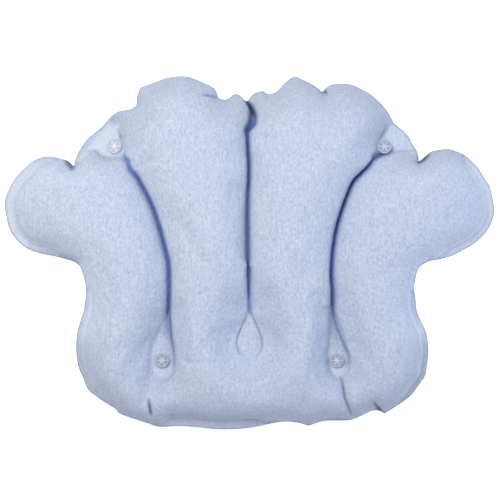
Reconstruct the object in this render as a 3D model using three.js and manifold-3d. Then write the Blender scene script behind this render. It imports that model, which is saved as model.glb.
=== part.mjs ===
// Inflatable bath pillow lying on its back: a towelling front bonded to a vinyl film, and a vinyl back,
// welded together round the rim and along the channels. Four suction cups button through the welds, and an
// air valve sits in a dimple of the back. Millimetres, +Z up: X runs across the pillow, Y towards its top
// edge, and Z = 0 is the plane of the suction cup lips. Left and right are as seen from the towelling side.
import * as THREE from "three";
import { ConvexHull } from "three/addons/math/ConvexHull.js";
import { mergeVertices } from "three/addons/utils/BufferGeometryUtils.js";
import Module from "manifold-3d";

// Outline of the welded rim, seen from the front
const PILLOW_WIDTH = 550; // from wing tip to wing tip
const PILLOW_HEIGHT = 394; // from the top lobes to the bottom edge
const WING_RADIUS = 57;
const WING_REACH = 91; // wing tips beyond the waist
const WING_DROP = 143; // wing centres below the top edge
const WING_NOTCH_ANGLE = 114; // degrees round the wing circle to the notch under the shoulder
const HIP_FLARE = 13; // hips beyond the waist
const HIP_RISE = 87; // widest part of the hips above the bottom edge
const CORNER_INSET = 67; // from the hips to where their round runs into the bottom edge
const CORNER_RISE = 13;
const LOBE_INSET = 106; // from the waist to the top of each upper lobe
const TOP_DIP = 24; // dip between the two upper lobes

// How far the curves of the rim are drawn out from the points that they join
const DIP_REACH = 22;
const DIP_LIFT = 11;
const LOBE_INNER_REACH = 33;
const LOBE_OUTER_REACH = 42;
const NOTCH_REACH = 30;
const NOTCH_LIFT = 44;
const HIP_REACH = 41;
const CORNER_OUTER_REACH = 36;
const CORNER_OUTER_LIFT = 7;
const CORNER_INNER_REACH = 40;
const CORNER_INNER_DROP = 8;
const BOTTOM_REACH = 52;

// Panels and air chambers
const TOWEL_THICKNESS = 2.2;
const FILM_THICKNESS = 0.4;
const BACK_THICKNESS = 0.5;
const LAYER_GAP = 0.3; // between sheets that are bonded or welded
const FLANGE_WIDTH = 7; // flat weld round the rim
const FRONT_CROWN = 44; // swell of the front above the welds
const BACK_CROWN = 24; // swell of the back below the welds
const SWELL_RUN = 60; // distance from a weld at which a chamber is full
const DROP_EASE = 0.65; // share of its swell that the front loses beside the round ends of the channels
const DROP_EASE_REACH = 32; // distance over which it slopes down to them
const FLOOR_CLEARANCE = 1; // from the lowest film to the cup lips

// Welded channels
const CHANNEL_WIDTH = 4;
const CENTRE_DROP_RISE = 95; // round end of the middle channel above the bottom edge
const CENTRE_DROP_RADIUS = 14;
const SIDE_DROP_RADIUS = 13; // round ends of the side channels, about the lower cups
const DROP_TAIL = 36; // length of the taper above a round end
const CUP_PAD_RADIUS = 19; // flat weld about the upper cups
const UPPER_BEND_INSET = 71; // bends of the side channels, in from the waist
const UPPER_BEND_DROP = 141; // and below the top edge
const LOWER_BEND_INSET = 94;
const LOWER_BEND_RISE = 171; // and above the bottom edge

// Suction cups
const UPPER_CUP_INSET = 32.5; // in from the waist
const UPPER_CUP_DROP = 78; // below the top edge
const LOWER_CUP_INSET = 86;
const LOWER_CUP_RISE = 76; // above the bottom edge
const CUP_LIP_RADIUS = 21;
const CUP_LIP_WIDTH = 1.6; // flat ring that meets the bath
const CUP_HOLLOW = 9.4; // depth of the hollow
const CUP_BELL_HEIGHT = 15;
const HOLLOW_BELLY = new THREE.Vector2(0.55, 0.7); // bend of the hollow, in shares of its radius and depth
const BELL_BELLY = new THREE.Vector2(0.72, 0.56); // bend of the bell, in shares of its radius and height
const CUP_STALK_RADIUS = 5.6;
const CUP_COLLAR_RADIUS = 7.6;
const CUP_COLLAR_HEIGHT = 2.4;
const CUP_NECK_RADIUS = 4;
const CUP_BUTTON_RADIUS = 8.2;
const CUP_BUTTON_HEIGHT = 2.8;
const BUTTON_EDGE = 0.7; // bevel round its top
const BUTTON_RIM = 1.7; // ring outside the pockets
const BUTTON_HUB_RADIUS = 2.2;
const BUTTON_SPOKES = 6;
const BUTTON_SPOKE_WIDTH = 1.4;
const BUTTON_POCKET_DEPTH = 1.2; // between the spokes
const NECK_CLEARANCE = 0.5; // round the neck in its hole
const SEAT_GAP = 0.3; // between pieces that rest on each other
const CUP_SIDES = 20;
const CUP_CURVE_STEPS = 5;
const POCKET_SIDES = 3;

// Air valve, in a dimple on the back of the left outer chamber
const VALVE_INSET = 47; // in from the waist
const VALVE_RISE = 135; // above the bottom edge
const VALVE_DEPTH = 13; // dimple floor below the welds
const DIMPLE_RADIUS = 17;
const DIMPLE_SLOPE = 0.9;
const VALVE_FLANGE_RADIUS = 15;
const VALVE_FLANGE_THICKNESS = 1;
const COLLAR_RADIUS = 8.6;
const COLLAR_WALL = 1.2;
const COLLAR_HEIGHT = 2; // above the film, inside the chamber
const STEM_RADIUS = 4.6;
const STEM_BORE_RADIUS = 2.8;
const STEM_LENGTH = 16;
const STEM_LIP_RADIUS = 5.6;
const STEM_LIP_HEIGHT = 1.2;
const STEM_REACH = 2.2; // outer end of the stem below the flange
const WEB_WALL = 0.8; // folding web between collar and stem
const WEB_ROOT_HEIGHT = 1.4;
const PLUG_CLEARANCE = 0.15;
const PLUG_LENGTH = 9;
const PLUG_HEAD_RADIUS = 6.2;
const PLUG_HEAD_HEIGHT = 1.9;
const PLUG_HEAD_EDGE = 0.6; // bevel of the head
const PLUG_NOSE_TAPER = 1.1; // nose end narrower than the shank, all round
const FLAP_THICKNESS = 0.5;
const STRAP_WIDTH = 3.4;
const STRAP_THICKNESS = 1;
const STRAP_REACH = 4.5; // bend of the strap beyond the stopper's head
const VALVE_SIDES = 20;
const STRAP_SIDES = 6;

// Fineness of the sheets
const RIM_STEP = 17;
const CHANNEL_STEP = 15;
const EDGE_ROOM = 6; // least room between points on the edges of welds
const FOOT_ROW = 8; // a row of points this far from the welds, where a chamber is steep
const FOOT_STEP = 18;
const SHOULDER_ROW = 22; // and another where it rounds over
const SHOULDER_STEP = 24;
const CROWN_STEP = 26;
const SCAN_STEP = 3;
const HOLE_SIDES = 12;

// Places that follow from the outline
const topY = PILLOW_HEIGHT / 2;
const bottomY = -PILLOW_HEIGHT / 2;
const waistX = PILLOW_WIDTH / 2 - WING_REACH;
const hipX = waistX + HIP_FLARE;
const hipY = bottomY + HIP_RISE;
const wingX = PILLOW_WIDTH / 2 - WING_RADIUS;
const wingY = topY - WING_DROP;

// Heights of the layers at a weld
const backWeldZ = FLOOR_CLEARANCE + BACK_CROWN;
const filmInnerZ = backWeldZ + BACK_THICKNESS + LAYER_GAP;
const frontWeldZ = filmInnerZ + FILM_THICKNESS + LAYER_GAP + TOWEL_THICKNESS;

const wasm = await Module();
wasm.setup();

const colours = {
  towel: new THREE.MeshStandardMaterial({ color: 0xc4d3ee, roughness: 0.95, metalness: 0 }),
  film: new THREE.MeshStandardMaterial({ color: 0xdfe8f5, roughness: 0.4, metalness: 0 }),
  back: new THREE.MeshStandardMaterial({ color: 0xb9cbea, roughness: 0.35, metalness: 0 }),
  cup: new THREE.MeshStandardMaterial({ color: 0xd6e2f2, roughness: 0.15, metalness: 0 }),
  valve: new THREE.MeshStandardMaterial({ color: 0xe4ebf6, roughness: 0.3, metalness: 0 }),
};

const point = (x, y) => new THREE.Vector2(x, y);
const mirrored = (p) => point(-p.x, p.y);
const SIDES = { left: mirrored, right: (p) => p };

// Points along a path, about a step apart, with every corner kept and the last point left out
function spacedPoints(path, step) {
  return path.curves.flatMap((curve) => {
    const count = Math.max(1, Math.round(curve.getLength() / step));
    return curve.getSpacedPoints(count).slice(0, -1);
  });
}

// Right half of the rim, from the dip in the top edge clockwise to the middle of the bottom edge
function rimHalf() {
  const dipY = topY - TOP_DIP;
  const lobeX = waistX - LOBE_INSET;
  const notch = THREE.MathUtils.degToRad(WING_NOTCH_ANGLE);
  const notchX = wingX + WING_RADIUS * Math.cos(notch);
  const notchY = wingY + WING_RADIUS * Math.sin(notch);
  const armpitRadius = wingX - waistX;
  const armpitY = wingY - WING_RADIUS - armpitRadius;
  const waistReach = (armpitY - hipY) / 3;
  const cornerX = hipX - CORNER_INSET;
  const cornerY = bottomY + CORNER_RISE;
  const rim = new THREE.Path();
  rim.moveTo(0, dipY);
  rim.bezierCurveTo(DIP_REACH, dipY + DIP_LIFT, lobeX - LOBE_INNER_REACH, topY, lobeX, topY);
  const lobeOuterX = lobeX + LOBE_OUTER_REACH;
  rim.bezierCurveTo(lobeOuterX, topY, notchX - NOTCH_REACH, notchY + NOTCH_LIFT, notchX, notchY);
  rim.absarc(wingX, wingY, WING_RADIUS, notch, -Math.PI / 2, true);
  rim.absarc(wingX, armpitY, armpitRadius, Math.PI / 2, Math.PI, false);
  rim.bezierCurveTo(waistX, armpitY - waistReach, hipX, hipY + waistReach, hipX, hipY);
  const cornerOuterX = cornerX + CORNER_OUTER_REACH;
  rim.bezierCurveTo(hipX, hipY - HIP_REACH, cornerOuterX, cornerY + CORNER_OUTER_LIFT, cornerX, cornerY);
  const cornerInnerX = cornerX - CORNER_INNER_REACH;
  rim.bezierCurveTo(cornerInnerX, cornerY - CORNER_INNER_DROP, BOTTOM_REACH, bottomY, 0, bottomY);
  return rim;
}

function rimPoints() {
  const right = spacedPoints(rimHalf(), RIM_STEP);
  const left = right.slice(1).map(mirrored).reverse();
  return [...right, point(0, bottomY), ...left];
}

// A weld is a straight stretch whose half width may grow from one end to the other
const weld = (from, to, fromRadius, toRadius) => ({ from, to, fromRadius, toRadius });

const roundWeld = (centre, radius) => weld(centre, centre, radius, radius);

// A channel's round end, with the taper that leads into it from the channel
function dropWelds(tail, centre, radius) {
  return [weld(tail, centre, CHANNEL_WIDTH / 2, radius), roundWeld(centre, radius)];
}

function channelWelds(points) {
  return points.slice(1).map((p, i) => weld(points[i], p, CHANNEL_WIDTH / 2, CHANNEL_WIDTH / 2));
}

const centreDrop = point(0, bottomY + CENTRE_DROP_RISE);
const centreTail = point(0, centreDrop.y + DROP_TAIL);
const centreTop = point(0, topY - TOP_DIP - FLANGE_WIDTH);
const upperCup = point(waistX - UPPER_CUP_INSET, topY - UPPER_CUP_DROP);
const lowerCup = point(waistX - LOWER_CUP_INSET, bottomY + LOWER_CUP_RISE);
const upperBend = point(waistX - UPPER_BEND_INSET, topY - UPPER_BEND_DROP);
const lowerBend = point(waistX - LOWER_BEND_INSET, bottomY + LOWER_BEND_RISE);
const sideTail = lowerCup.clone().lerp(lowerBend, DROP_TAIL / lowerCup.distanceTo(lowerBend));
const valveCentre = point(VALVE_INSET - waistX, bottomY + VALVE_RISE);

const rim = rimPoints();
const centreLine = spacedPoints({ curves: [new THREE.LineCurve(centreTop, centreTail)] }, CHANNEL_STEP);
const sideCurve = new THREE.SplineCurve([upperCup, upperBend, lowerBend, sideTail]);
const sideLine = spacedPoints({ curves: [sideCurve] }, CHANNEL_STEP);
const drops = [
  ...dropWelds(centreTail, centreDrop, CENTRE_DROP_RADIUS),
  ...Object.values(SIDES).flatMap((place) => dropWelds(place(sideTail), place(lowerCup), SIDE_DROP_RADIUS)),
];
const welds = [
  ...drops,
  ...channelWelds([...centreLine, centreTail]),
  ...Object.values(SIDES).flatMap((place) => [
    ...channelWelds([...sideLine, sideTail].map(place)),
    roundWeld(place(upperCup), CUP_PAD_RADIUS),
  ]),
];

// How far along the stretch from a to b the point p lies, from 0 to 1
function shareAlong(p, a, b) {
  const run = b.clone().sub(a);
  const length = run.lengthSq();
  return length ? THREE.MathUtils.clamp(p.clone().sub(a).dot(run) / length, 0, 1) : 0;
}

function distanceToWeld(p, { from, to, fromRadius, toRadius }) {
  const share = shareAlong(p, from, to);
  return p.distanceTo(from.clone().lerp(to, share)) - THREE.MathUtils.lerp(fromRadius, toRadius, share);
}

// Inner edge of the flat weld, under each point of the rim, which runs clockwise
function flangeEdge() {
  return rim.map((p, i) => {
    const along = rim[(i + 1) % rim.length].clone().sub(rim.at(i - 1)).normalize();
    return p.clone().add(point(along.y, -along.x).multiplyScalar(FLANGE_WIDTH));
  });
}

function distanceToRim(p) {
  return Math.min(...rim.map((a, i) => {
    const b = rim[(i + 1) % rim.length];
    return p.distanceTo(a.clone().lerp(b, shareAlong(p, a, b)));
  }));
}

function insideRim(p) {
  return rim.reduce((inside, a, i) => {
    const b = rim[(i + 1) % rim.length];
    const spans = a.y > p.y !== b.y > p.y;
    return spans && p.x < a.x + ((b.x - a.x) * (p.y - a.y)) / (b.y - a.y) ? !inside : inside;
  }, false);
}

// Distance from the nearest weld, 0 on a weld
function distanceToWelds(p) {
  const nearest = Math.min(...welds.map((w) => distanceToWeld(p, w)), distanceToRim(p) - FLANGE_WIDTH);
  return Math.max(0, nearest);
}

// A chamber rises steeply from its weld and levels off like a quarter of an ellipse
function swell(p) {
  const short = 1 - Math.min(1, distanceToWelds(p) / SWELL_RUN);
  return Math.sqrt(1 - short * short);
}

// The front is drawn down in a wide dimple round the end of each channel
function frontSwell(p) {
  const beyond = Math.max(0, Math.min(...drops.map((w) => distanceToWeld(p, w)))) / DROP_EASE_REACH;
  return FRONT_CROWN * swell(p) * (1 - DROP_EASE * Math.exp(-beyond * beyond));
}

function backSwell(p) {
  const beyond = Math.max(0, p.distanceTo(valveCentre) - DIMPLE_RADIUS);
  return Math.min(BACK_CROWN * swell(p), VALVE_DEPTH + DIMPLE_SLOPE * beyond);
}

function ring(centre, radius, sides) {
  return Array.from({ length: sides }, (_, i) => {
    const turn = (2 * Math.PI * (i + 0.5)) / sides;
    return point(centre.x + radius * Math.cos(turn), centre.y + radius * Math.sin(turn));
  });
}

// Triangles of a point set by lifting it to a bowl and taking the underside of its hull
function triangulate(points) {
  const bowl = points.map((p, i) => {
    const lifted = new THREE.Vector3(p.x, p.y, p.lengthSq() / PILLOW_WIDTH);
    return Object.assign(lifted, { order: i });
  });
  const underside = new ConvexHull().setFromPoints(bowl).faces.filter((face) => face.normal.z < 0);
  return underside.map(({ edge }) => [edge.next.next, edge.next, edge].map((e) => e.head().point.order));
}

// Places between the welds, on the right half, with their distance from the nearest weld, farthest first
function openPlaces() {
  const places = [];
  for (let y = bottomY; y < topY; y += SCAN_STEP) {
    for (let x = SCAN_STEP; x < PILLOW_WIDTH / 2; x += SCAN_STEP) {
      const p = point(x, y);
      const distance = insideRim(p) ? distanceToWelds(p) : 0;
      if (distance > 0) places.push({ p, distance });
    }
  }
  return places.sort((a, b) => b.distance - a.distance);
}

const places = openPlaces();

// Places about as far from the welds as a row asks
const rowPlaces = (row) => places.filter(({ distance }) => Math.abs(distance - row) < SCAN_STEP / 2);

// Flat plan of a sheet: its points and triangles, with the rim, the holes and the welds among the points
function sheetPlan(holes, pads) {
  const points = [...rim];
  const place = (p, room) => {
    if (points.every((other) => other.distanceTo(p) >= room)) points.push(p);
  };
  const holeOf = new Map();
  holes.forEach(({ centre, radius }, hole) => {
    ring(centre, radius / Math.cos(Math.PI / HOLE_SIDES), HOLE_SIDES).forEach((p) => {
      holeOf.set(points.length, hole);
      points.push(p);
    });
  });
  const padEdges = pads.flatMap(({ centre, radius }) => ring(centre, radius, HOLE_SIDES));
  const channels = [...centreLine, centreTail, ...sideLine, ...sideLine.map(mirrored)];
  const flange = flangeEdge().filter((p) => insideRim(p) && distanceToRim(p) > FLANGE_WIDTH / 2);
  [...padEdges, ...channels, ...flange].forEach((p) => place(p, EDGE_ROOM));
  const fill = (chosen, step, room) => {
    const row = [];
    chosen.filter(({ p }) => 2 * p.x >= step).forEach(({ p }) => {
      if (row.some((other) => other.distanceTo(p) < step)) return;
      row.push(p);
      [p, mirrored(p)].forEach((twin) => place(twin, room));
    });
  };
  fill(rowPlaces(FOOT_ROW), FOOT_STEP, EDGE_ROOM);
  fill(rowPlaces(SHOULDER_ROW), SHOULDER_STEP, SHOULDER_ROW - FOOT_ROW - SCAN_STEP);
  fill(places.filter(({ distance }) => distance > SHOULDER_ROW), CROWN_STEP, SHOULDER_ROW - SCAN_STEP);
  const triangles = triangulate(points).filter((corners) => {
    const [a, b, c] = corners.map((i) => points[i]);
    const hole = holeOf.get(corners[0]);
    const inHole = hole !== undefined && corners.every((i) => holeOf.get(i) === hole);
    return !inHole && insideRim(a.clone().add(b).add(c).divideScalar(3));
  });
  return { points, triangles };
}

// Edges that only one triangle has, in that triangle's direction
function openEdges(triangles) {
  const edges = new Map();
  triangles.forEach(([a, b, c]) => {
    [[a, b], [b, c], [c, a]].forEach(([from, to]) => {
      if (!edges.delete(`${to},${from}`)) edges.set(`${from},${to}`, [from, to]);
    });
  });
  return [...edges.values()];
}

// A closed sheet that swells from the weld height towards one face, +1 up or -1 down. Its outer and inner
// surfaces lie the given depths under the swollen face.
function sheetGeometry(plan, swellAt, weldZ, face, outerDepth, innerDepth) {
  const triangles = face > 0 ? plan.triangles : plan.triangles.map(([a, b, c]) => [a, c, b]);
  const edges = openEdges(triangles);
  const skin = new THREE.BufferGeometry().setFromPoints(
    plan.points.map((p) => new THREE.Vector3(p.x, p.y, weldZ + face * swellAt(p))),
  );
  skin.setIndex(triangles.flat());
  skin.computeVertexNormals();
  const { position, normal } = skin.attributes;
  edges.flat().forEach((i) => normal.setXYZ(i, 0, 0, face));
  const layer = (depth) => plan.points.map((_, i) => {
    const inwards = new THREE.Vector3().fromBufferAttribute(normal, i).multiplyScalar(-depth);
    return inwards.add(new THREE.Vector3().fromBufferAttribute(position, i));
  });
  const count = plan.points.length;
  const under = (i) => i + count;
  const walls = edges.flatMap(([a, b]) => [[b, a, under(a)], [b, under(a), under(b)]]);
  const inner = triangles.map(([a, b, c]) => [under(c), under(b), under(a)]);
  const sheet = new THREE.BufferGeometry().setFromPoints([...layer(outerDepth), ...layer(innerDepth)]);
  sheet.setIndex([...triangles, ...walls, ...inner].flat());
  return sheet;
}

// A turned piece: the profile runs from below, up its outer side, in pairs of radius and height
function turned(profile, sides) {
  const points = profile.map(([radius, height]) => point(radius, height));
  return new THREE.LatheGeometry(points, sides).rotateX(Math.PI / 2);
}

function addMesh(group, name, geometry, material) {
  const mesh = new THREE.Mesh(geometry, material.clone());
  mesh.name = name;
  group.add(mesh);
}

const neckHoleRadius = CUP_NECK_RADIUS + NECK_CLEARANCE;
const cupPlaces = Object.entries(SIDES).flatMap(([side, place]) => [
  { name: `suction_cup_top_${side}`, centre: place(upperCup), pad: CUP_PAD_RADIUS },
  { name: `suction_cup_bottom_${side}`, centre: place(lowerCup), pad: SIDE_DROP_RADIUS },
]);

function addPanels(pillow) {
  const cupHoles = cupPlaces.map(({ centre }) => ({ centre, radius: neckHoleRadius }));
  const cupPads = cupPlaces.map(({ centre, pad }) => ({ centre, radius: pad }));
  const pads = [...cupPads, { centre: centreDrop, radius: CENTRE_DROP_RADIUS }];
  const front = sheetPlan(cupHoles, pads);
  const filmDepth = TOWEL_THICKNESS + LAYER_GAP;
  const filmInnerDepth = filmDepth + FILM_THICKNESS;
  const towel = sheetGeometry(front, frontSwell, frontWeldZ, 1, 0, TOWEL_THICKNESS);
  const film = sheetGeometry(front, frontSwell, frontWeldZ, 1, filmDepth, filmInnerDepth);
  addMesh(pillow, "front_cover", towel, colours.towel);
  addMesh(pillow, "front_film", film, colours.film);
  const valveHole = { centre: valveCentre, radius: COLLAR_RADIUS + SEAT_GAP };
  const dimple = { centre: valveCentre, radius: DIMPLE_RADIUS };
  const back = sheetPlan([...cupHoles, valveHole], [...pads, dimple]);
  const backGeometry = sheetGeometry(back, backSwell, backWeldZ, -1, 0, BACK_THICKNESS);
  addMesh(pillow, "back_panel", backGeometry, colours.back);
}

// Smooth stretch of a profile through a few radius and height pairs
function sweep(pairs, steps) {
  const curve = new THREE.SplineCurve(pairs.map(([radius, height]) => point(radius, height)));
  return curve.getPoints(steps).map(({ x, y }) => [x, y]);
}

// A closed shape as a solid that can be cut, without the empty triangles at the ends of a turned one
function solidOf(geometry) {
  const bare = geometry.clone();
  bare.deleteAttribute("normal");
  bare.deleteAttribute("uv");
  const { index, attributes } = mergeVertices(bare);
  const triVerts = [];
  for (let i = 0; i < index.count; i += 3) {
    const corners = [index.getX(i), index.getX(i + 1), index.getX(i + 2)];
    if (new Set(corners).size === 3) triVerts.push(...corners);
  }
  const vertProperties = attributes.position.array;
  const mesh = { numProp: 3, vertProperties, triVerts: Uint32Array.from(triVerts) };
  return new wasm.Manifold(new wasm.Mesh(mesh));
}

function geometryOf(solid) {
  const { vertProperties, triVerts } = solid.getMesh();
  const geometry = new THREE.BufferGeometry();
  geometry.setAttribute("position", new THREE.BufferAttribute(vertProperties, 3));
  return geometry.setIndex(new THREE.BufferAttribute(triVerts, 1));
}

// The hollow between two spokes of the button, cut down from its top
function buttonPocket(spoke, buttonTop) {
  const outer = CUP_BUTTON_RADIUS - BUTTON_RIM;
  const half = Math.PI / BUTTON_SPOKES;
  const middle = (2 * spoke + 1) * half;
  const outerHalf = half - BUTTON_SPOKE_WIDTH / 2 / outer;
  const innerHalf = half - BUTTON_SPOKE_WIDTH / 2 / BUTTON_HUB_RADIUS;
  const pocket = new THREE.Shape();
  pocket.absarc(0, 0, outer, middle - outerHalf, middle + outerHalf, false);
  pocket.absarc(0, 0, BUTTON_HUB_RADIUS, middle + innerHalf, middle - innerHalf, true);
  const options = { depth: BUTTON_POCKET_DEPTH + SEAT_GAP, bevelEnabled: false, curveSegments: POCKET_SIDES };
  return new THREE.ExtrudeGeometry(pocket, options).translate(0, 0, buttonTop - BUTTON_POCKET_DEPTH);
}

// A cup with its lip on the floor, a collar under the back panel and a spoked button over the towelling
function cupGeometry() {
  const collarTop = backWeldZ - SEAT_GAP;
  const collarFoot = collarTop - CUP_COLLAR_HEIGHT;
  const buttonFoot = frontWeldZ + SEAT_GAP;
  const buttonTop = buttonFoot + CUP_BUTTON_HEIGHT;
  const lipInner = CUP_LIP_RADIUS - CUP_LIP_WIDTH;
  const hollow = sweep([
    [0, CUP_HOLLOW],
    [lipInner * HOLLOW_BELLY.x, CUP_HOLLOW * HOLLOW_BELLY.y],
    [lipInner, 0],
  ], CUP_CURVE_STEPS);
  const bell = sweep([
    [CUP_LIP_RADIUS, CUP_LIP_WIDTH / 2],
    [CUP_LIP_RADIUS * BELL_BELLY.x, CUP_BELL_HEIGHT * BELL_BELLY.y],
    [CUP_STALK_RADIUS, CUP_BELL_HEIGHT],
  ], CUP_CURVE_STEPS);
  const body = turned([
    ...hollow,
    [CUP_LIP_RADIUS, 0],
    ...bell,
    [CUP_STALK_RADIUS, collarFoot - (CUP_COLLAR_RADIUS - CUP_STALK_RADIUS)],
    [CUP_COLLAR_RADIUS, collarFoot],
    [CUP_COLLAR_RADIUS, collarTop],
    [CUP_NECK_RADIUS, collarTop],
    [CUP_NECK_RADIUS, buttonFoot],
    [CUP_BUTTON_RADIUS, buttonFoot],
    [CUP_BUTTON_RADIUS, buttonTop - BUTTON_EDGE],
    [CUP_BUTTON_RADIUS - BUTTON_EDGE, buttonTop],
    [0, buttonTop],
  ], CUP_SIDES);
  const spokes = Array.from({ length: BUTTON_SPOKES }, (_, spoke) => spoke);
  const pockets = spokes.map((spoke) => solidOf(buttonPocket(spoke, buttonTop)));
  return geometryOf(pockets.reduce((cup, pocket) => cup.subtract(pocket), solidOf(body)));
}

function addCups(pillow) {
  const geometry = cupGeometry();
  cupPlaces.forEach(({ name, centre }) => {
    const cup = new THREE.Group();
    cup.position.set(centre.x, centre.y, 0);
    addMesh(cup, name, geometry, colours.cup);
    pillow.add(cup);
  });
}

// Heights in the valve are measured from the outer face of the film, up into the chamber
const valve = (() => {
  const flangeTop = -SEAT_GAP;
  const flangeFoot = flangeTop - VALVE_FLANGE_THICKNESS;
  const collarTop = BACK_THICKNESS + COLLAR_HEIGHT;
  const stemFoot = flangeFoot - STEM_REACH;
  const stemTop = stemFoot + STEM_LENGTH;
  const plugHeadTop = stemFoot - SEAT_GAP;
  const plugHeadFoot = plugHeadTop - PLUG_HEAD_HEIGHT;
  return { flangeTop, flangeFoot, collarTop, stemFoot, stemTop, plugHeadTop, plugHeadFoot };
})();
const collarBore = COLLAR_RADIUS - COLLAR_WALL;

// Welded flange outside the film, with a collar through its hole
function valveBase() {
  return turned([
    [collarBore, valve.flangeFoot],
    [VALVE_FLANGE_RADIUS, valve.flangeFoot],
    [VALVE_FLANGE_RADIUS, valve.flangeTop],
    [COLLAR_RADIUS, valve.flangeTop],
    [COLLAR_RADIUS, valve.collarTop],
    [collarBore, valve.collarTop],
    [collarBore, valve.flangeFoot],
  ], VALVE_SIDES);
}

// Cone of thin vinyl that lets the stem be pushed in and pulled out
function valveWeb() {
  const rootRadius = collarBore - SEAT_GAP;
  const tipRadius = STEM_RADIUS + SEAT_GAP;
  const rootFoot = valve.collarTop - WEB_ROOT_HEIGHT;
  const tipTop = valve.stemTop - STEM_LIP_HEIGHT - SEAT_GAP;
  return turned([
    [rootRadius - WEB_WALL, rootFoot],
    [rootRadius, rootFoot],
    [rootRadius, valve.collarTop],
    [tipRadius + WEB_WALL, tipTop],
    [tipRadius, tipTop],
    [tipRadius, tipTop - WEB_ROOT_HEIGHT],
    [rootRadius - WEB_WALL, rootFoot],
  ], VALVE_SIDES);
}

// Mouthpiece tube with a lip at each end
function valveStem() {
  return turned([
    [STEM_BORE_RADIUS, valve.stemFoot],
    [STEM_LIP_RADIUS, valve.stemFoot],
    [STEM_LIP_RADIUS, valve.stemFoot + STEM_LIP_HEIGHT],
    [STEM_RADIUS, valve.stemFoot + STEM_LIP_HEIGHT],
    [STEM_RADIUS, valve.stemTop - STEM_LIP_HEIGHT],
    [STEM_LIP_RADIUS, valve.stemTop - STEM_LIP_HEIGHT],
    [STEM_LIP_RADIUS, valve.stemTop],
    [STEM_BORE_RADIUS, valve.stemTop],
    [STEM_BORE_RADIUS, valve.stemFoot],
  ], VALVE_SIDES);
}

// Stopper with a tapered nose and a flat head
function valvePlug() {
  const shank = STEM_BORE_RADIUS - PLUG_CLEARANCE;
  const noseTop = valve.plugHeadTop + PLUG_LENGTH;
  return turned([
    [0, valve.plugHeadFoot],
    [PLUG_HEAD_RADIUS - PLUG_HEAD_EDGE, valve.plugHeadFoot],
    [PLUG_HEAD_RADIUS, valve.plugHeadFoot + PLUG_HEAD_EDGE],
    [PLUG_HEAD_RADIUS, valve.plugHeadTop],
    [shank, valve.plugHeadTop],
    [shank, noseTop - shank],
    [shank - PLUG_NOSE_TAPER, noseTop],
    [0, noseTop],
  ], VALVE_SIDES);
}

// Check flap on the inner end of the stem, welded to it along one edge
function valveFlap() {
  const disc = new THREE.Shape().absarc(0, 0, STEM_RADIUS, 0, 2 * Math.PI, false);
  const options = { depth: FLAP_THICKNESS, bevelEnabled: false, curveSegments: VALVE_SIDES };
  return new THREE.ExtrudeGeometry(disc, options).translate(0, 0, valve.stemTop + SEAT_GAP);
}

// Strap that ties the stopper's head to the lip of the stem: a flat U, drawn from the side
function valveStrap() {
  const stemEnd = STEM_LIP_RADIUS + SEAT_GAP;
  const headEnd = PLUG_HEAD_RADIUS + SEAT_GAP;
  const upperTop = valve.stemFoot + (STEM_LIP_HEIGHT + STRAP_THICKNESS) / 2;
  const lowerFoot = valve.plugHeadFoot + (PLUG_HEAD_HEIGHT - STRAP_THICKNESS) / 2;
  const bendRadius = (upperTop - lowerFoot) / 2;
  const bendX = headEnd + STRAP_REACH - bendRadius;
  const bendY = (upperTop + lowerFoot) / 2;
  const side = new THREE.Shape();
  side.moveTo(stemEnd, upperTop - STRAP_THICKNESS);
  side.absarc(bendX, bendY, bendRadius - STRAP_THICKNESS, Math.PI / 2, -Math.PI / 2, true);
  side.lineTo(headEnd, lowerFoot + STRAP_THICKNESS);
  side.lineTo(headEnd, lowerFoot);
  side.absarc(bendX, bendY, bendRadius, -Math.PI / 2, Math.PI / 2, false);
  side.lineTo(stemEnd, upperTop);
  const options = { depth: STRAP_WIDTH, bevelEnabled: false, curveSegments: STRAP_SIDES };
  return new THREE.ExtrudeGeometry(side, options).translate(0, 0, -STRAP_WIDTH / 2).rotateX(Math.PI / 2);
}

function addValve(pillow) {
  const group = new THREE.Group();
  group.position.set(valveCentre.x, valveCentre.y, backWeldZ - VALVE_DEPTH);
  addMesh(group, "valve_base", valveBase(), colours.valve);
  addMesh(group, "valve_web", valveWeb(), colours.valve);
  addMesh(group, "valve_stem", valveStem(), colours.valve);
  addMesh(group, "valve_plug", valvePlug(), colours.valve);
  addMesh(group, "valve_flap", valveFlap(), colours.film);
  addMesh(group, "valve_strap", valveStrap(), colours.valve);
  pillow.add(group);
}

const pillow = new THREE.Group();
pillow.name = "bath_pillow";
addPanels(pillow);
addCups(pillow);
addValve(pillow);

export default pillow;
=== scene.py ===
# Inflatable bath pillow: looped towelling welded to a vinyl back, lying on its suction cups, seen from above
import math

import bmesh
import bpy
import numpy as np
from mathutils import Matrix, Vector, kdtree, noise


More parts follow.
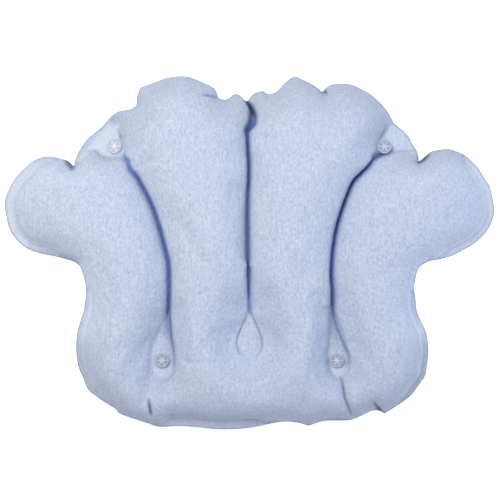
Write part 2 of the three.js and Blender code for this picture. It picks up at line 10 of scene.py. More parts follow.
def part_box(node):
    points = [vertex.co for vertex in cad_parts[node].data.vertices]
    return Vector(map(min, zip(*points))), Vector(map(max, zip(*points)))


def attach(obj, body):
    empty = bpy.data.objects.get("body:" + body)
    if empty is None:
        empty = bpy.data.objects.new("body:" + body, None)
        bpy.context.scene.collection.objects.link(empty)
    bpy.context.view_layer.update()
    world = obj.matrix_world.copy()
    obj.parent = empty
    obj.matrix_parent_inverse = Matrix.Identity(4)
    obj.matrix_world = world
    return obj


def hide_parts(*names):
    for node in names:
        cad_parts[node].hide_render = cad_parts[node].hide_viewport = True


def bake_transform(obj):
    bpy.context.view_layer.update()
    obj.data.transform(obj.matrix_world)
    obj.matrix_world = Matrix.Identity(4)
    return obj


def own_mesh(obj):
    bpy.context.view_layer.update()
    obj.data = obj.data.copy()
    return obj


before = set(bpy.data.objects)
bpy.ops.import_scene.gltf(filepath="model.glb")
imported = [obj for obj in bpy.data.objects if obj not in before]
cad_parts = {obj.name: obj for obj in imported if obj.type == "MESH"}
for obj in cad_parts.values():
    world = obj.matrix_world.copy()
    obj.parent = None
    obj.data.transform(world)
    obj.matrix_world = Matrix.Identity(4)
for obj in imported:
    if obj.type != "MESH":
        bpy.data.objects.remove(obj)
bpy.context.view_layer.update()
scene = bpy.context.scene
mm = 0.001

# Camera straight above the pillow
photoView = {
    "imageSize": 500,
    "pixelSize": 1.1224,  # mm of the rim's plane in one pixel
    "centre": (0.6, 2.8),  # mm, the place in the middle of the image
    "distance": 3000,
    "sensor": 36,
    "farthest": 20,  # m
}

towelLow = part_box("front_cover")[0]
cupNames = [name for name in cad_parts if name.startswith("suction_cup")]
middleOf = {name: sum(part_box(name), Vector()) / 2 for name in [*cupNames, "valve_base"]}
cupCentres = {name: middleOf[name].xy / mm for name in cupNames}  # mm
valveCentre = middleOf["valve_base"].xy / mm


def newLinked(name, data):
    piece = bpy.data.objects.new(name, data)
    scene.collection.objects.link(piece)
    return piece


def addCamera():
    data = bpy.data.cameras.new("photoCamera")
    camera = newLinked("photoCamera", data)
    frameWidth = photoView["imageSize"] * photoView["pixelSize"]
    data.sensor_width = photoView["sensor"]
    data.lens = photoView["sensor"] * photoView["distance"] / frameWidth
    data.clip_end = photoView["farthest"]
    x, y = photoView["centre"]
    camera.location = (x * mm, y * mm, towelLow.z + photoView["distance"] * mm)
    scene.camera = camera


addCamera()
print("camera placed")

# Rim of the pillow in mm, clockwise from the notch between the top lobes; a corner where two stretches meet
rimStretches = {
    "middleRight": [
        (-3, 168.5), (3, 177), (9.5, 180), (15, 181.5), (19.5, 178.5), (23, 178), (29.5, 180),
        (36.5, 187), (43, 193.5), (51, 198),
    ],
    "rightPeak": [(51, 198), (56.5, 195.5), (64.5, 192), (72.5, 187.5), (78, 183.5), (81.5, 179.5)],
    "rightLobe": [
        (81.5, 179.5), (86, 185), (91.5, 188.5), (99.5, 189.5), (108.5, 189.5), (116, 188), (126.5, 183),
        (136.5, 177), (146.5, 168), (154.5, 159), (159, 151), (162, 145),
    ],
    "rightShoulder": [
        (162, 145), (169, 139.5), (174.5, 134.5), (179, 129.5), (182.5, 122), (187, 115), (189.5, 108.5),
        (189.5, 101.5),
    ],
    "rightWing": [
        (189.5, 101.5), (195.5, 106.5), (203.5, 113), (214, 115.5), (225, 116), (239.5, 110.5),
        (248.5, 103.5), (256.5, 95), (263, 84), (269, 75), (272, 63.5), (274.5, 49), (273.5, 40),
        (269, 28.5), (263, 20), (252, 10), (241, 3.5), (227.5, -3.5), (214, -7.5), (201.5, -10),
        (192.5, -15), (188, -22), (186, -31),
    ],
    "rightHip": [
        (186, -31), (184.5, -40), (186.5, -53.5), (187.5, -64.5), (192.5, -77), (198, -89), (200.5, -105),
        (200.5, -116), (199, -126.5), (197, -138.5), (190, -148.5), (182.5, -159), (173.5, -166.5),
        (163.5, -173.5), (151.5, -181),
    ],
    "bottomRight": [
        (151.5, -181), (146.5, -178), (141, -177), (134, -179), (124, -184), (113, -188), (101.5, -188.5),
        (90.5, -188.5), (81.5, -189.5), (66, -194.5),
    ],
    "bottom": [
        (66, -194.5), (56.5, -191.5), (45.5, -190), (32, -190.5), (16.5, -193.5), (0.5, -196.5),
        (-15, -198), (-37.5, -198), (-58, -196), (-80.5, -194.5), (-100.5, -195.5), (-116, -191),
        (-132, -186), (-147, -180.5),
    ],
    "leftHip": [
        (-147, -180.5), (-150, -176), (-161, -169), (-174.5, -159.5), (-181.5, -153), (-186, -142),
        (-191.5, -129.5), (-194, -116), (-194.5, -102.5), (-193, -89), (-189, -74.5), (-186, -64.5),
        (-183.5, -46.5), (-184.5, -33),
    ],
    "leftWing": [
        (-184.5, -33), (-189.5, -17.5), (-196, -11), (-206, -7.5), (-219.5, -4), (-234, -1), (-246.5, 3),
        (-256.5, 9.5), (-264.5, 18.5), (-270, 28), (-272.5, 40), (-274.5, 52), (-273.5, 62.5), (-270, 70),
        (-264.5, 81), (-255.5, 91.5), (-246.5, 100), (-238.5, 105), (-229.5, 107.5), (-220.5, 107.5),
        (-210.5, 105), (-204.5, 103.3), (-200.5, 100.3), (-197, 96.3),
    ],
    "leftShoulder": [
        (-197, 96.3), (-195.5, 104), (-192.5, 111.5), (-188, 119), (-181.5, 127.5), (-173.5, 134.5),
        (-165.5, 141), (-159, 148.5), (-153, 154.5), (-145.5, 159), (-135, 160.5), (-126.5, 165),
    ],
    "leftStep": [(-126.5, 165), (-126.5, 173.5), (-124.5, 180.5)],
    "leftLobe": [
        (-124.5, 180.5), (-122, 185), (-115, 188), (-105, 191.5), (-95, 195.5), (-86, 197), (-77, 198),
        (-68, 197), (-59, 194), (-50, 190), (-42, 186), (-37.5, 181.5), (-35, 173.5),
    ],
    "middleLeft": [
        (-35, 173.5), (-27.5, 171.5), (-23, 173), (-18.5, 177), (-14, 178), (-9.5, 175.5), (-3, 168.5),
    ],
}

# Welded lines between the air chambers, in mm, from the top down
channels = {
    "centre": [
        (-3, 168.5), (1.5, 161), (5.5, 153), (5.5, 144), (0.5, 138.5), (-2, 133), (-1.5, 113), (-0.8, 90),
        (-2, 50), (-1.4, -8.5), (-1, -45), (-0.5, -67),
    ],
    "left": [
        (-139, 106.5), (-136.5, 103.5), (-134.5, 99.5), (-133.5, 95), (-130, 90.5), (-126, 86.5),
        (-119.5, 75.5), (-108, 53), (-100.3, 31), (-94.3, 8.5), (-90.4, -8), (-88.9, -25), (-89, -47.5),
        (-90.5, -67),
    ],
    "right": [
        (155.5, 113), (145.5, 109), (138, 104.5), (133.5, 98), (130, 94), (126, 90.5), (121, 86),
        (116.2, 81), (110.6, 70), (102.6, 47.5), (96.1, 25.5), (92.6, 3), (90.6, -20), (90.8, -31),
        (92.2, -42), (92.5, -59),
    ],
}

# Each channel gets painted blue shade reaching a few mm to one side, 1 for the right. The chambers
# lean over it by a share of the distance, and lose a share of their height beside it. The last pair is
# how strong its painted dark shade is at its top and its end.
channelLooks = {
    "centre": {
        "side": 1, "leanLeft": 0.66, "leanRight": 0.52, "easeLeft": 0.12, "easeRight": 0,
        "blue": 3, "dark": (0.25, 0.05),
    },
    "left": {
        "side": -1, "leanLeft": 0.3, "leanRight": 0.74, "easeLeft": 0.33, "easeRight": 0,
        "blue": 4.5, "dark": (0, 0.25),
    },
    "right": {
        "side": 1, "leanLeft": 0.74, "leanRight": 0.3, "easeLeft": 0, "easeRight": 0.27,
        "blue": 4, "dark": (0.1, 0.1),
    },
}

# Flat welded patches, in mm: the slit at the top, the drops that end the channels, and the corners round
# the upper cups
patches = {
    "topSlit": [
        (-3, 168), (1, 166.5), (5, 160.5), (7, 153), (6.5, 146.5), (5, 141.5), (0.5, 137.5), (-2, 134),
        (-3.5, 129.5), (-4.5, 134), (-4, 139), (-0.5, 145), (1, 152), (0.5, 158.5), (-3, 168),
    ],
    "centreDrop": [
        (-0.5, -67), (-9.5, -87), (-14, -101.5), (-9.5, -111.5), (0, -116), (9.5, -111.5), (14, -101.5),
        (8.5, -87), (-0.5, -67),
    ],
    "leftDrop": [
        (-90.5, -67), (-88.3, -84.5), (-85.3, -104), (-84.3, -123), (-87.5, -136.5), (-97, -143),
        (-107, -137.5), (-111, -123), (-108.5, -104), (-100.5, -87), (-90.5, -67),
    ],
    "rightDrop": [
        (92.5, -59), (99.5, -78), (107, -100.5), (112, -120.5), (109.5, -134), (99.5, -141), (91, -134),
        (87.3, -120), (88.3, -106), (90.3, -92.5), (91.5, -76), (92.5, -59),
    ],
    "leftCorner": [
        (-191, 103.5), (-180.5, 121.5), (-171, 131.5), (-159, 143.5), (-151.5, 150), (-146, 142),
        (-144.5, 131), (-142.5, 118.5), (-143, 105), (-147.5, 106), (-156.5, 105), (-163.5, 107),
        (-173.5, 114), (-191, 103.5),
    ],
    "rightCorner": [
        (160, 142), (171.5, 132), (179, 121.5), (185.5, 112.5), (171, 114), (157.5, 114), (148.5, 111.5),
        (142, 111), (143, 118.5), (144, 125), (147, 129.5), (153, 138.5), (160, 142),
    ],
}

# Round some patches the chambers slope gently down: share of the height taken off and its reach in mm, on
# the left and on the right
gentleSlopes = {
    "centreDrop": ((0.85, 24), (0.85, 24)),
    "leftDrop": ((0.6, 20), (0.35, 14)),
    "rightDrop": ((0.35, 14), (0.55, 18)),
    "leftCorner": ((0.5, 16), (0.5, 16)),
    "rightCorner": ((0.4, 14), (0.7, 18)),
}

# Sheets of the pillow, mm
sheet = {
    "cell": 2.7,
    "guideStep": 0.6,  # spacing of points along the rim and welds
    "knotSteps": 16,  # steps of a curve between two of its points
    "flangeWidth": 2.6,  # flat weld along the rim
    "wideFlange": 5,  # a flange wider than this shows its inner edge
    "edgeClear": 0.97,  # that edge is left out where the rim comes nearer than this share of the width
    "neckHole": 4.5,
    "holeReach": 1.5,  # cells from a hole within which an edge point is drawn onto it
    "weldPull": 0.5,  # share of a cell from which points are drawn onto a weld
    "onWeld": 0.05,
    "leastGap": 0.5,  # points closer than this are made one
    "relaxPasses": 3,
    "relaxShare": 0.5,
    "sweeps": 420,
    "overRelax": 1.93,
    "fill": 0.85,  # blown up firm
    "fullWidth": 75,  # half width at which a chamber is at its full height
    "leanReach": 9,
    "leanDrop": 0.66,  # the chambers lean over the right of the drops by this share of the distance
    "leanSlit": 0.85,  # and close over the slit
    "easeReach": 26,
    "sideBlend": 8,  # below a drop its left slope turns into its right one over this width
    "lineReach": 3,  # a crease or pressed line fades out within this many half widths
}

# Where the flat weld along the rim widens, in mm: its width there, and the stretches over which it widens
wideFlanges = {
    "wings": (9.5, [("aside", 206, 226), ("up", 112, 96)]),
    "hips": (7.5, [("aside", 160, 172), ("up", -36, -56), ("up", -172, -158)]),
    "bottom": (11, [("up", -165, -180), ("across", -108, -84), ("across", 26, 4)]),
}


def smoothLine(points, step):  # even points on a curve through the given ones
    knots = np.array(points, float)
    padded = np.vstack([2 * knots[0] - knots[1], knots, 2 * knots[-1] - knots[-2]])
    t = np.linspace(0, 1, sheet["knotSteps"], endpoint=False)[:, None]
    parts = []
    for a, b, c, d in zip(padded, padded[1:], padded[2:], padded[3:]):
        bend = 2 * b + (c - a) * t + (2 * a - 5 * b + 4 * c - d) * t**2 + (3 * b - a - 3 * c + d) * t**3
        parts.append(bend / 2)
    line = np.vstack([*parts, knots[-1:]])
    along = np.append(0, np.cumsum(np.linalg.norm(np.diff(line, axis=0), axis=1)))
    even = np.linspace(0, along[-1], max(2, round(along[-1] / step) + 1))
    return np.column_stack([np.interp(even, along, line[:, i]) for i in (0, 1)])


def treeOf(points):
    tree = kdtree.KDTree(len(points))
    for i, (x, y) in enumerate(points):
        tree.insert((x, y, 0), i)
    tree.balance()
    return tree


def distanceTo(tree, places):
    return np.array([tree.find((x, y, 0))[2] for x, y in places])


def nearest(tree, places):  # x of the nearest point, its number and the distance to it
    found = [tree.find((x, y, 0)) for x, y in places]
    return [np.array(part) for part in zip(*((point.x, number, gap) for point, number, gap in found))]


def insideOf(loop, places):  # even and odd crossings of a closed loop
    x, y = places.T
    inside = np.zeros(len(places), bool)
    for (ax, ay), (bx, by) in zip(loop, np.roll(loop, -1, axis=0)):
        if ay != by:
            crosses = ((ay > y) != (by > y)) & (x < ax + (bx - ax) * (y - ay) / (by - ay))
            inside ^= crosses
    return inside


def smoothStep(low, high, value):
    t = np.clip((value - low) / (high - low), 0, 1)
    return t * t * (3 - 2 * t)


def fade(gap, width):  # 1 at no distance to 0 beyond the width
    return np.exp(-((gap / width) ** 2))


guideStep = sheet["guideStep"]
cell = sheet["cell"]
rimLine = np.vstack([smoothLine(points, guideStep)[:-1] for points in rimStretches.values()])
channelLines = {name: smoothLine(points, guideStep) for name, points in channels.items()}
patchLines = {name: smoothLine(points, guideStep) for name, points in patches.items()}
rimTree = treeOf(rimLine)
channelTree = treeOf(np.vstack(list(channelLines.values())))
channelLook = {
    key: np.concatenate([np.linspace(*np.broadcast_to(channelLooks[name][key], 2), len(line))
                         for name, line in channelLines.items()])
    for key in channelLooks["centre"]
}  # one value for each point of the channels
sheetHalf = np.ceil(np.abs(rimLine).max(axis=0) / cell + 1) * cell
cupHoles = [(centre, sheet["neckHole"]) for centre in cupCentres.values()]


def flangeWidth(places):  # of the flat weld along the rim
    x, y = places.T
    along = {"across": x, "aside": np.abs(x), "up": y}
    extra = 0
    for width, limits in wideFlanges.values():
        share = np.prod([smoothStep(low, high, along[axis]) for axis, low, high in limits], axis=0)
        extra += share * (width - sheet["flangeWidth"])
    return sheet["flangeWidth"] + extra


def innerEdge():  # inner edge of the flange, where it is wide
    along = np.roll(rimLine, -2, axis=0) - np.roll(rimLine, 2, axis=0)
    inward = np.column_stack([along[:, 1], -along[:, 0]]) / np.linalg.norm(along, axis=1)[:, None]
    width = flangeWidth(rimLine)
    edge = rimLine + inward * width[:, None]
    clear = distanceTo(rimTree, edge) > sheet["edgeClear"] * width
    return edge[clear & (width > sheet["wideFlange"])]


flangeLine = innerEdge()
flangeTree = treeOf(flangeLine)
weldTree = treeOf(np.vstack([*channelLines.values(), *patchLines.values(), flangeLine]))


def placesOf(bm):
    return np.array([v.co.xy for v in bm.verts])


def joinAlong(bm, line):  # an unbroken row of edges through the points on a weld
    tree = treeOf(line)
    onLine = {}
    for v in bm.verts:
        _, place, gap = tree.find((v.co.x, v.co.y, 0))
        if gap < sheet["onWeld"]:
            onLine[place] = v
    row = [onLine[place] for place in sorted(onLine)]
    for pair in zip(row, row[1:]):
        if not set(pair[0].link_edges) & set(pair[1].link_edges):
            made = bmesh.ops.connect_vert_pair(bm, verts=pair)
            for v in {v for edge in made["edges"] for v in edge.verts}.difference(pair):
                v.co = tree.find((v.co.x, v.co.y, 0))[0]
                for name in ("column", "row"):  # stands for no node of the grid
                    v[bm.verts.layers.int[name]] = 0


def flatSheet(holes):  # a grid cut to the rim and the holes, its points drawn onto the rim and the welds
    counts = np.rint(2 * sheetHalf / cell).astype(int)
    bm = bmesh.new()
    stretch = Matrix.Diagonal((*sheetHalf, 1, 1))
    bmesh.ops.create_grid(bm, x_segments=counts[0], y_segments=counts[1], size=1, matrix=stretch)
    middles = np.array([face.calc_center_median().xy for face in bm.faces])
    outside = ~insideOf(rimLine, middles)
    for centre, radius in holes:
        outside |= np.linalg.norm(middles - centre, axis=1) < radius
    bmesh.ops.delete(bm, geom=[face for face, out in zip(bm.faces, outside) if out], context="FACES")
    loose = [face for face in bm.faces if sum(edge.is_boundary for edge in face.edges) > 2]
    bmesh.ops.delete(bm, geom=loose, context="FACES")
    column, row = (bm.verts.layers.int.new(name) for name in ("column", "row"))
    for v in bm.verts:
        v[column] = round((v.co.x + sheetHalf[0]) / cell)
        v[row] = round((v.co.y + sheetHalf[1]) / cell)
    free = []
    for v in bm.verts:
        point, _, gap = weldTree.find(v.co)
        across = max(abs(x) for x in point - v.co)
        if v.is_boundary:
            centre, radius = min(holes, key=lambda hole: abs((v.co.xy - hole[0]).length - hole[1]))
            arm = v.co.xy - centre
            if abs(arm.length - radius) < sheet["holeReach"] * cell:
                v.co.xy = centre + arm * (radius / arm.length)
            else:
                v.co = rimTree.find(v.co)[0]
        elif gap * gap <= sheet["weldPull"] * cell * across:  # one point in each row or column
            v.co = point
        else:
            free.append(v)
    for _ in range(sheet["relaxPasses"]):
        bmesh.ops.smooth_vert(bm, verts=free, factor=sheet["relaxShare"], use_axis_x=True, use_axis_y=True)
    bmesh.ops.remove_doubles(bm, verts=bm.verts, dist=sheet["leastGap"])
    for line in [*channelLines.values(), *patchLines.values()]:
        joinAlong(bm, line)
    bmesh.ops.remove_doubles(bm, verts=bm.verts, dist=sheet["leastGap"])
    return bm, np.array([(v[column], v[row]) for v in bm.verts])


def weldedPoints(bm):  # which points lie on a weld, and how far each is from the nearest one
    places = placesOf(bm)
    toRim = distanceTo(rimTree, places)
    toWeld = distanceTo(weldTree, places)
    welded = (toRim < flangeWidth(places) + sheet["onWeld"]) | (toWeld < sheet["onWeld"])
    for loop in patchLines.values():
        welded |= insideOf(loop, places)
    welded |= np.array([v.is_boundary for v in bm.verts])
    return welded, np.minimum(toRim, toWeld)


def swellOf(nodes, welded, opening=None):  # 0 on the welds to 1 in a full chamber, as a film blown up
    shape = nodes.max(axis=0) + 2
    column, row = np.indices(shape)
    fixed = np.ones(shape, bool)
    if opening:
        (x, y), radius = opening
        fixed = np.hypot(column * cell - sheetHalf[0] - x, row * cell - sheetHalf[1] - y) > radius
    fixed[nodes[:, 0], nodes[:, 1]] = welded
    lift = np.zeros(shape)
    halves = [~fixed & ((column + row) % 2 == parity) for parity in (0, 1)]
    for _ in range(sheet["sweeps"]):
        for half in halves:
            around = np.roll(lift, 1, 0) + np.roll(lift, -1, 0) + np.roll(lift, 1, 1) + np.roll(lift, -1, 1)
            lift = np.where(half, lift + sheet["overRelax"] * ((around + cell * cell) / 4 - lift), lift)
    rise = np.sqrt(2 * np.maximum(0, lift[nodes[:, 0], nodes[:, 1]]))
    return np.sin(np.minimum(1, rise / sheet["fullWidth"]) * math.pi / 2)


def rightOf(line, places):  # how far places lie to the right of the middle of a drop
    tip, foot = line[0], line[line[:, 1].argmin()]
    return places[:, 0] - np.interp(places[:, 1], (foot[1], tip[1]), (foot[0], tip[0]))


def gentleShare(places):
    share = np.ones(len(places))
    for name, (left, right) in gentleSlopes.items():
        line = patchLines[name]
        gap = distanceTo(treeOf(line), places) * ~insideOf(line, places)
        side = smoothStep(-sheet["sideBlend"], sheet["sideBlend"], rightOf(line, places))
        off, reach = ((1 - side) * a + side * b for a, b in zip(left, right))
        share *= 1 - off * fade(gap, reach)
    nearX, number, gap = nearest(channelTree, places)
    ease = np.where(places[:, 0] > nearX, channelLook["easeRight"][number], channelLook["easeLeft"][number])
    return share * (1 - ease * fade(gap, sheet["easeReach"]))


def leanOver(bm):  # the full chambers meet over the channels, and stand steep along the right of the drops
    slit = patchLines["topSlit"]
    drops = [line[rightOf(line, line) > 0] for line in (patchLines["leftDrop"], patchLines["rightDrop"])]
    drops = np.vstack([patchLines["centreDrop"], *drops])
    tree = treeOf(np.vstack([*channelLines.values(), drops, slit]))
    others = np.append(np.full(len(drops), sheet["leanDrop"]), np.full(len(slit), sheet["leanSlit"]))
    leans = {side: np.append(channelLook["lean" + side], others) for side in ("Left", "Right")}
    places = placesOf(bm)
    flat = np.any([insideOf(loop, places) for loop in patchLines.values()], axis=0)
    for v, isFlat in zip(bm.verts, flat):
        point, number, gap = tree.find((v.co.x, v.co.y, 0))
        lean = leans["Right" if v.co.x > point.x else "Left"][number]
        share = lean * fade(gap, sheet["leanReach"])
        nearest = weldTree.find((v.co.x, v.co.y, 0))[2] > gap - sheet["onWeld"]
        if nearest and not (isFlat or v.is_boundary):
            v.co.xy = v.co.xy.lerp(point.xy, share)


def setHeights(bm, heights):
    for v, height in zip(bm.verts, heights):
        v.co.z = height


def coordinatesOf(mesh):
    flat = np.empty(len(mesh.vertices) * 3)
    mesh.vertices.foreach_get("co", flat)
    return flat.reshape(-1, 3)


def objectOf(name, bm):
    mesh = bpy.data.meshes.new(name)
    bm.to_mesh(mesh)
    return newLinked(name, mesh)


def discard(trial):
    mesh = trial.data
    bpy.data.objects.remove(trial)
    bpy.data.meshes.remove(mesh)


def inflate(bm, welded, room, settings):  # air pressure on the sheet, with the welds held
    trial = objectOf("sheetToInflate", bm)
    before = coordinatesOf(trial.data)
    held = trial.vertex_groups.new(name="welds")
    held.add([int(i) for i in np.flatnonzero(welded)], 1.0, "REPLACE")
    modifier = trial.modifiers.new("air", "CLOTH")
    cloth = modifier.settings
    cloth.vertex_group_mass = held.name
    cloth.use_pressure = True
    cloth.effector_weights.gravity = 0
    for key, value in settings["cloth"].items():
        setattr(cloth, key, value)
    modifier.collision_settings.use_collision = False
    for number in range(1, settings["frames"] + 1):
        scene.frame_set(number)
    blown = trial.evaluated_get(bpy.context.evaluated_depsgraph_get())
    move = coordinatesOf(blown.data) - before
    scene.frame_set(1)
    discard(trial)
    sideways = np.linalg.norm(move[:, :2], axis=1)
    allowed = np.minimum(settings["cap"] * mm, settings["sideShare"] * room * mm)
    move[:, :2] *= np.minimum(1, allowed / np.maximum(sideways, 1e-9))[:, None]
    move[:, 2] = np.clip(move[:, 2], -settings["cap"] * mm, settings["cap"] * mm)
    print("largest moves in mm", np.abs(move).max(axis=0) / mm)
    for v, place in zip(bm.verts, before + move):
        v.co = place


# Towelling front, mm
towel = {
    "thickness": 2.2,
    "crown": 44,
    "unevenScale": 70,
    "unevenPlace": 3.0,  # layer of the noise
    "uneven": 0.04,  # share of the height
    "creaseRamp": 1.5,  # creases are at their full depth where the chamber is two thirds full
    "wingLowest": -30,
    "hemHighest": -165,
}
towelAir = {
    "cloth": {
        "quality": 6, "mass": 0.2, "tension_stiffness": 20, "compression_stiffness": 20,
        "shear_stiffness": 8, "bending_stiffness": 10, "air_damping": 4, "uniform_pressure_force": 2,
        "shrink_min": -0.004,
    },
    "frames": 22,
    "cap": 7,  # mm that a point may move
    "sideShare": 0.8,  # of its distance to the nearest weld, sideways
}

# Creases and puckers of the front: points in mm, depth and half width in mm
creases = {
    "leftLobe": ([(-49, 176), (-41, 174.5), (-35.5, 173)], 5, 4),
    "leftStep": ([(-126, 172), (-124, 160)], 5, 5),
    "rightNotch": ([(81.5, 179.5), (84.5, 178), (86, 173.5)], 5, 4),
    "rightBump": ([(21, 178), (24, 170)], 4, 5),
    "leftWingNotch": ([(-197.5, 97), (-201.5, 93.5), (-208, 92.5)], 9, 7),
    "rightWingNotch": ([(189, 101.5), (193.5, 98), (200.5, 97)], 8, 6),
    "leftArmpit": ([(-193.5, -12), (-201.5, -6), (-210.5, 0.5)], 6, 8),
    "leftCorner": ([(-146, 141), (-145.5, 133), (-143.5, 125)], 4, 3.5),
    "rightCorner": ([(153, 138.5), (150, 134), (147, 129.5)], 4, 4),
    "leftDropFold": ([(-107, -136.5), (-113, -152), (-116, -168)], 6, 7),
    "leftPucker": ([(-112.5, -166), (-110.5, -181)], 6, 3.5),
    "rightDropFold": ([(101.5, -139.5), (104, -145.5), (105.5, -156.5), (108, -166.5), (114.5, -182)], 6, 4),
    "rightPucker": ([(139.5, -168.5), (143.5, -173.5), (150, -180)], 6, 4),
    "hipWrinkle": ([(-74.5, -118.5), (-64.5, -123), (-51, -123)], 2, 3),
}


def nearLine(points, places, width):  # 1 on a line to 0 beside it, and how far along it
    line = smoothLine(points, guideStep)
    tree = treeOf(line)
    reach = sheet["lineReach"] * width
    close = ((places > line.min(axis=0) - reach) & (places < line.max(axis=0) + reach)).all(axis=1)
    near = np.zeros(len(places))
    along = np.zeros(len(places))
    for i in np.flatnonzero(close):
        _, number, gap = tree.find((*places[i], 0))
        near[i] = fade(gap, width)
        along[i] = number / (len(line) - 1)
    return near, along


def creaseDepth(places):
    depth = np.zeros(len(places))
    for points, deep, wide in creases.values():
        depth = np.maximum(depth, deep * nearLine(points, places, wide)[0])
    return depth


def unevenness(places):
    scale = towel["unevenScale"]
    return np.array([noise.noise((x / scale, y / scale, towel["unevenPlace"])) for x, y in places])


def frontSheet():
    bm, nodes = flatSheet(cupHoles)
    welded, room = weldedPoints(bm)
    places = placesOf(bm)
    swell = swellOf(nodes, welded)
    height = towel["crown"] * swell * (1 + towel["uneven"] * unevenness(places)) * gentleShare(places)
    height -= creaseDepth(places) * np.minimum(1, swell * towel["creaseRamp"])
    leanOver(bm)
    setHeights(bm, towelLow.z / mm + towel["thickness"] + np.maximum(0, height))
    bmesh.ops.scale(bm, vec=(mm, mm, mm), verts=bm.verts)
    bm.normal_update()
    print("front sheet", len(bm.verts), "points", len(bm.faces), "faces")
    inflate(bm, welded, room, towelAir)
    bm.normal_update()
    return bm, welded


def newObject(name, bm, material):
    piece = objectOf(name, bm)
    bm.free()
    piece.data.materials.append(material)
    piece.data.shade_smooth()
    return piece


def dress(piece, body, slot, *nodes):
    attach(piece, body)
    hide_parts(*nodes)
    return piece


def addNode(tree, kind, settings={}, links=()):  # settings by socket or property, links as socket and source
    node = tree.nodes.new(kind)
    for key, value in settings.items():
        if isinstance(key, int) or key in node.inputs:
            node.inputs[key].default_value = value
        else:
            setattr(node, key, value)
    for socket, source in links:
        tree.links.new(source, node.inputs[socket])
    return node


def linear(colour):  # sRGB hex to linear
    parts = [int(colour[i:i + 2], 16) / 255 for i in (1, 3, 5)]
    return [p / 12.92 if p <= 0.04045 else ((p + 0.055) / 1.055) ** 2.4 for p in parts] + [1]


def newMaterial(name, settings):
    material = bpy.data.materials.new(name)
    material.use_nodes = True
    tree = material.node_tree
    shader = tree.nodes["Principled BSDF"]
    for key, value in settings.items():
        shader.inputs[key].default_value = value
    return material, tree, shader


def linkShader(tree, shader, colour, height, look):  # its colour, and the relief of its surface
    bumpLook = {"Strength": look["reliefStrength"], "Distance": look["relief"] * mm}
    bump = addNode(tree, "ShaderNodeBump", bumpLook, [("Height", height)])
    tree.links.new(bump.outputs["Normal"], shader.inputs["Normal"])
    tree.links.new(colour, shader.inputs["Base Color"])


# Cotton terry towelling: a matt looped pile with a soft bright rim of fibres, in rows, with painted shade and
# painted light
towelling = {
    "base": "#afbed6",
    "shade": "#a6b6d1",
    "light": "#d9e2ef",
    # painted blue shade in the channels, the drops' necks and the slit
    "paintedBlueShade": "#6380c6",
    # painted light on the flange's ridge and on the flat patches
    "ridgeAndPaintedLight": "#dfe6f2",
    # painted shade along the rim
    "edge": "#949db0",
    # painted dark shade in the channels, the slit and along the pressed lines
    "deep": "#2b3863",
    "fuzz": "#dfe6f2",
    "tuft": 2.4,  # mm, coarser than the loops, which are too fine to show
    "tuftLength": 3.4,
    "row": 1.7,
    "rowLength": 22,
    "rowShare": 0.5,
    "loopRange": {"From Min": 0.48, "From Max": 1.06},
    "mottle": 14,
    "mottleRange": {"From Min": 0.3, "From Max": 0.7},
    "relief": 0.8,
    "reliefStrength": 0.8,
}


def terryTowelling():
    material, tree, shader = newMaterial("terryTowelling", {
        "Roughness": 1.0, "Specular IOR Level": 0.05, "Sheen Weight": 0.1, "Sheen Roughness": 0.6,
        "Sheen Tint": linear(towelling["fuzz"]),
    })
    place = addNode(tree, "ShaderNodeTexCoord").outputs["Object"]
    grainLook = {"Detail": 3, "Roughness": 0.6}
    grains = []
    for across, length in (("row", "rowLength"), ("tuft", "tuftLength")):  # rows, and the loops in them
        size = [1 / (towelling[key] * mm) for key in (across, length, across)]
        along = addNode(tree, "ShaderNodeMapping", {"Scale": size}, [("Vector", place)]).outputs[0]
        look = {"Scale": 1, **grainLook}
        grains.append(addNode(tree, "ShaderNodeTexNoise", look, [("Vector", along)]).outputs["Fac"])
    mottleLook = {"Scale": 1 / (towelling["mottle"] * mm), **grainLook}
    mottle = addNode(tree, "ShaderNodeTexNoise", mottleLook, [("Vector", place)]).outputs["Fac"]
    rows = {"operation": "MULTIPLY_ADD", 1: towelling["rowShare"]}
    loops = addNode(tree, "ShaderNodeMath", rows, [(0, grains[0]), (2, grains[1])]).outputs[0]
    wideFac = addNode(tree, "ShaderNodeMapRange", towelling["mottleRange"], [("Value", mottle)])
    loopFac = addNode(tree, "ShaderNodeMapRange", towelling["loopRange"], [("Value", loops)])
    shades = {"data_type": "RGBA", 6: linear(towelling["shade"]), 7: linear(towelling["base"])}
    wide = addNode(tree, "ShaderNodeMix", shades, [(0, wideFac.outputs["Result"])])
    lights = {"data_type": "RGBA", 7: linear(towelling["light"])}
    fine = addNode(tree, "ShaderNodeMix", lights, [(0, loopFac.outputs["Result"]), (6, wide.outputs[2])])
    colour = fine.outputs[2]
    # painted light, painted blue shade, painted shade along the rim and painted dark shade, over the pile's
    # colour
    for mark in ("ridgeAndPaintedLight", "paintedBlueShade", "edge", "deep"):
        reach = addNode(tree, "ShaderNodeAttribute", {"attribute_name": mark})
        tint = {"data_type": "RGBA", 7: linear(towelling[mark])}
        colour = addNode(tree, "ShaderNodeMix", tint, [(0, reach.outputs["Fac"]), (6, colour)]).outputs[2]
    linkShader(tree, shader, colour, loops, towelling)
    return material


def cloudedColour(tree, place, look):  # two close shades in soft clouds, and the clouds themselves
    cloudLook = {"Scale": 1 / (look["cloud"] * mm), "Detail": look["detail"]}
    cloud = addNode(tree, "ShaderNodeTexNoise", cloudLook, [("Vector", place)]).outputs["Fac"]
    shades = {"data_type": "RGBA", 6: linear(look["base"]), 7: linear(look["light"])}
    return addNode(tree, "ShaderNodeMix", shades, [(0, cloud)]).outputs[2], cloud


# Calendered PVC sheet: satin, softly clouded, with a fine haircell emboss
vinylSheet = {
    "base": "#a9bfe4",
    "light": "#b9cbea",
    "cloud": 40,  # mm
    "detail": 3,
    "grain": 1.6,
    "relief": 0.2,
    "reliefStrength": 0.15,
}


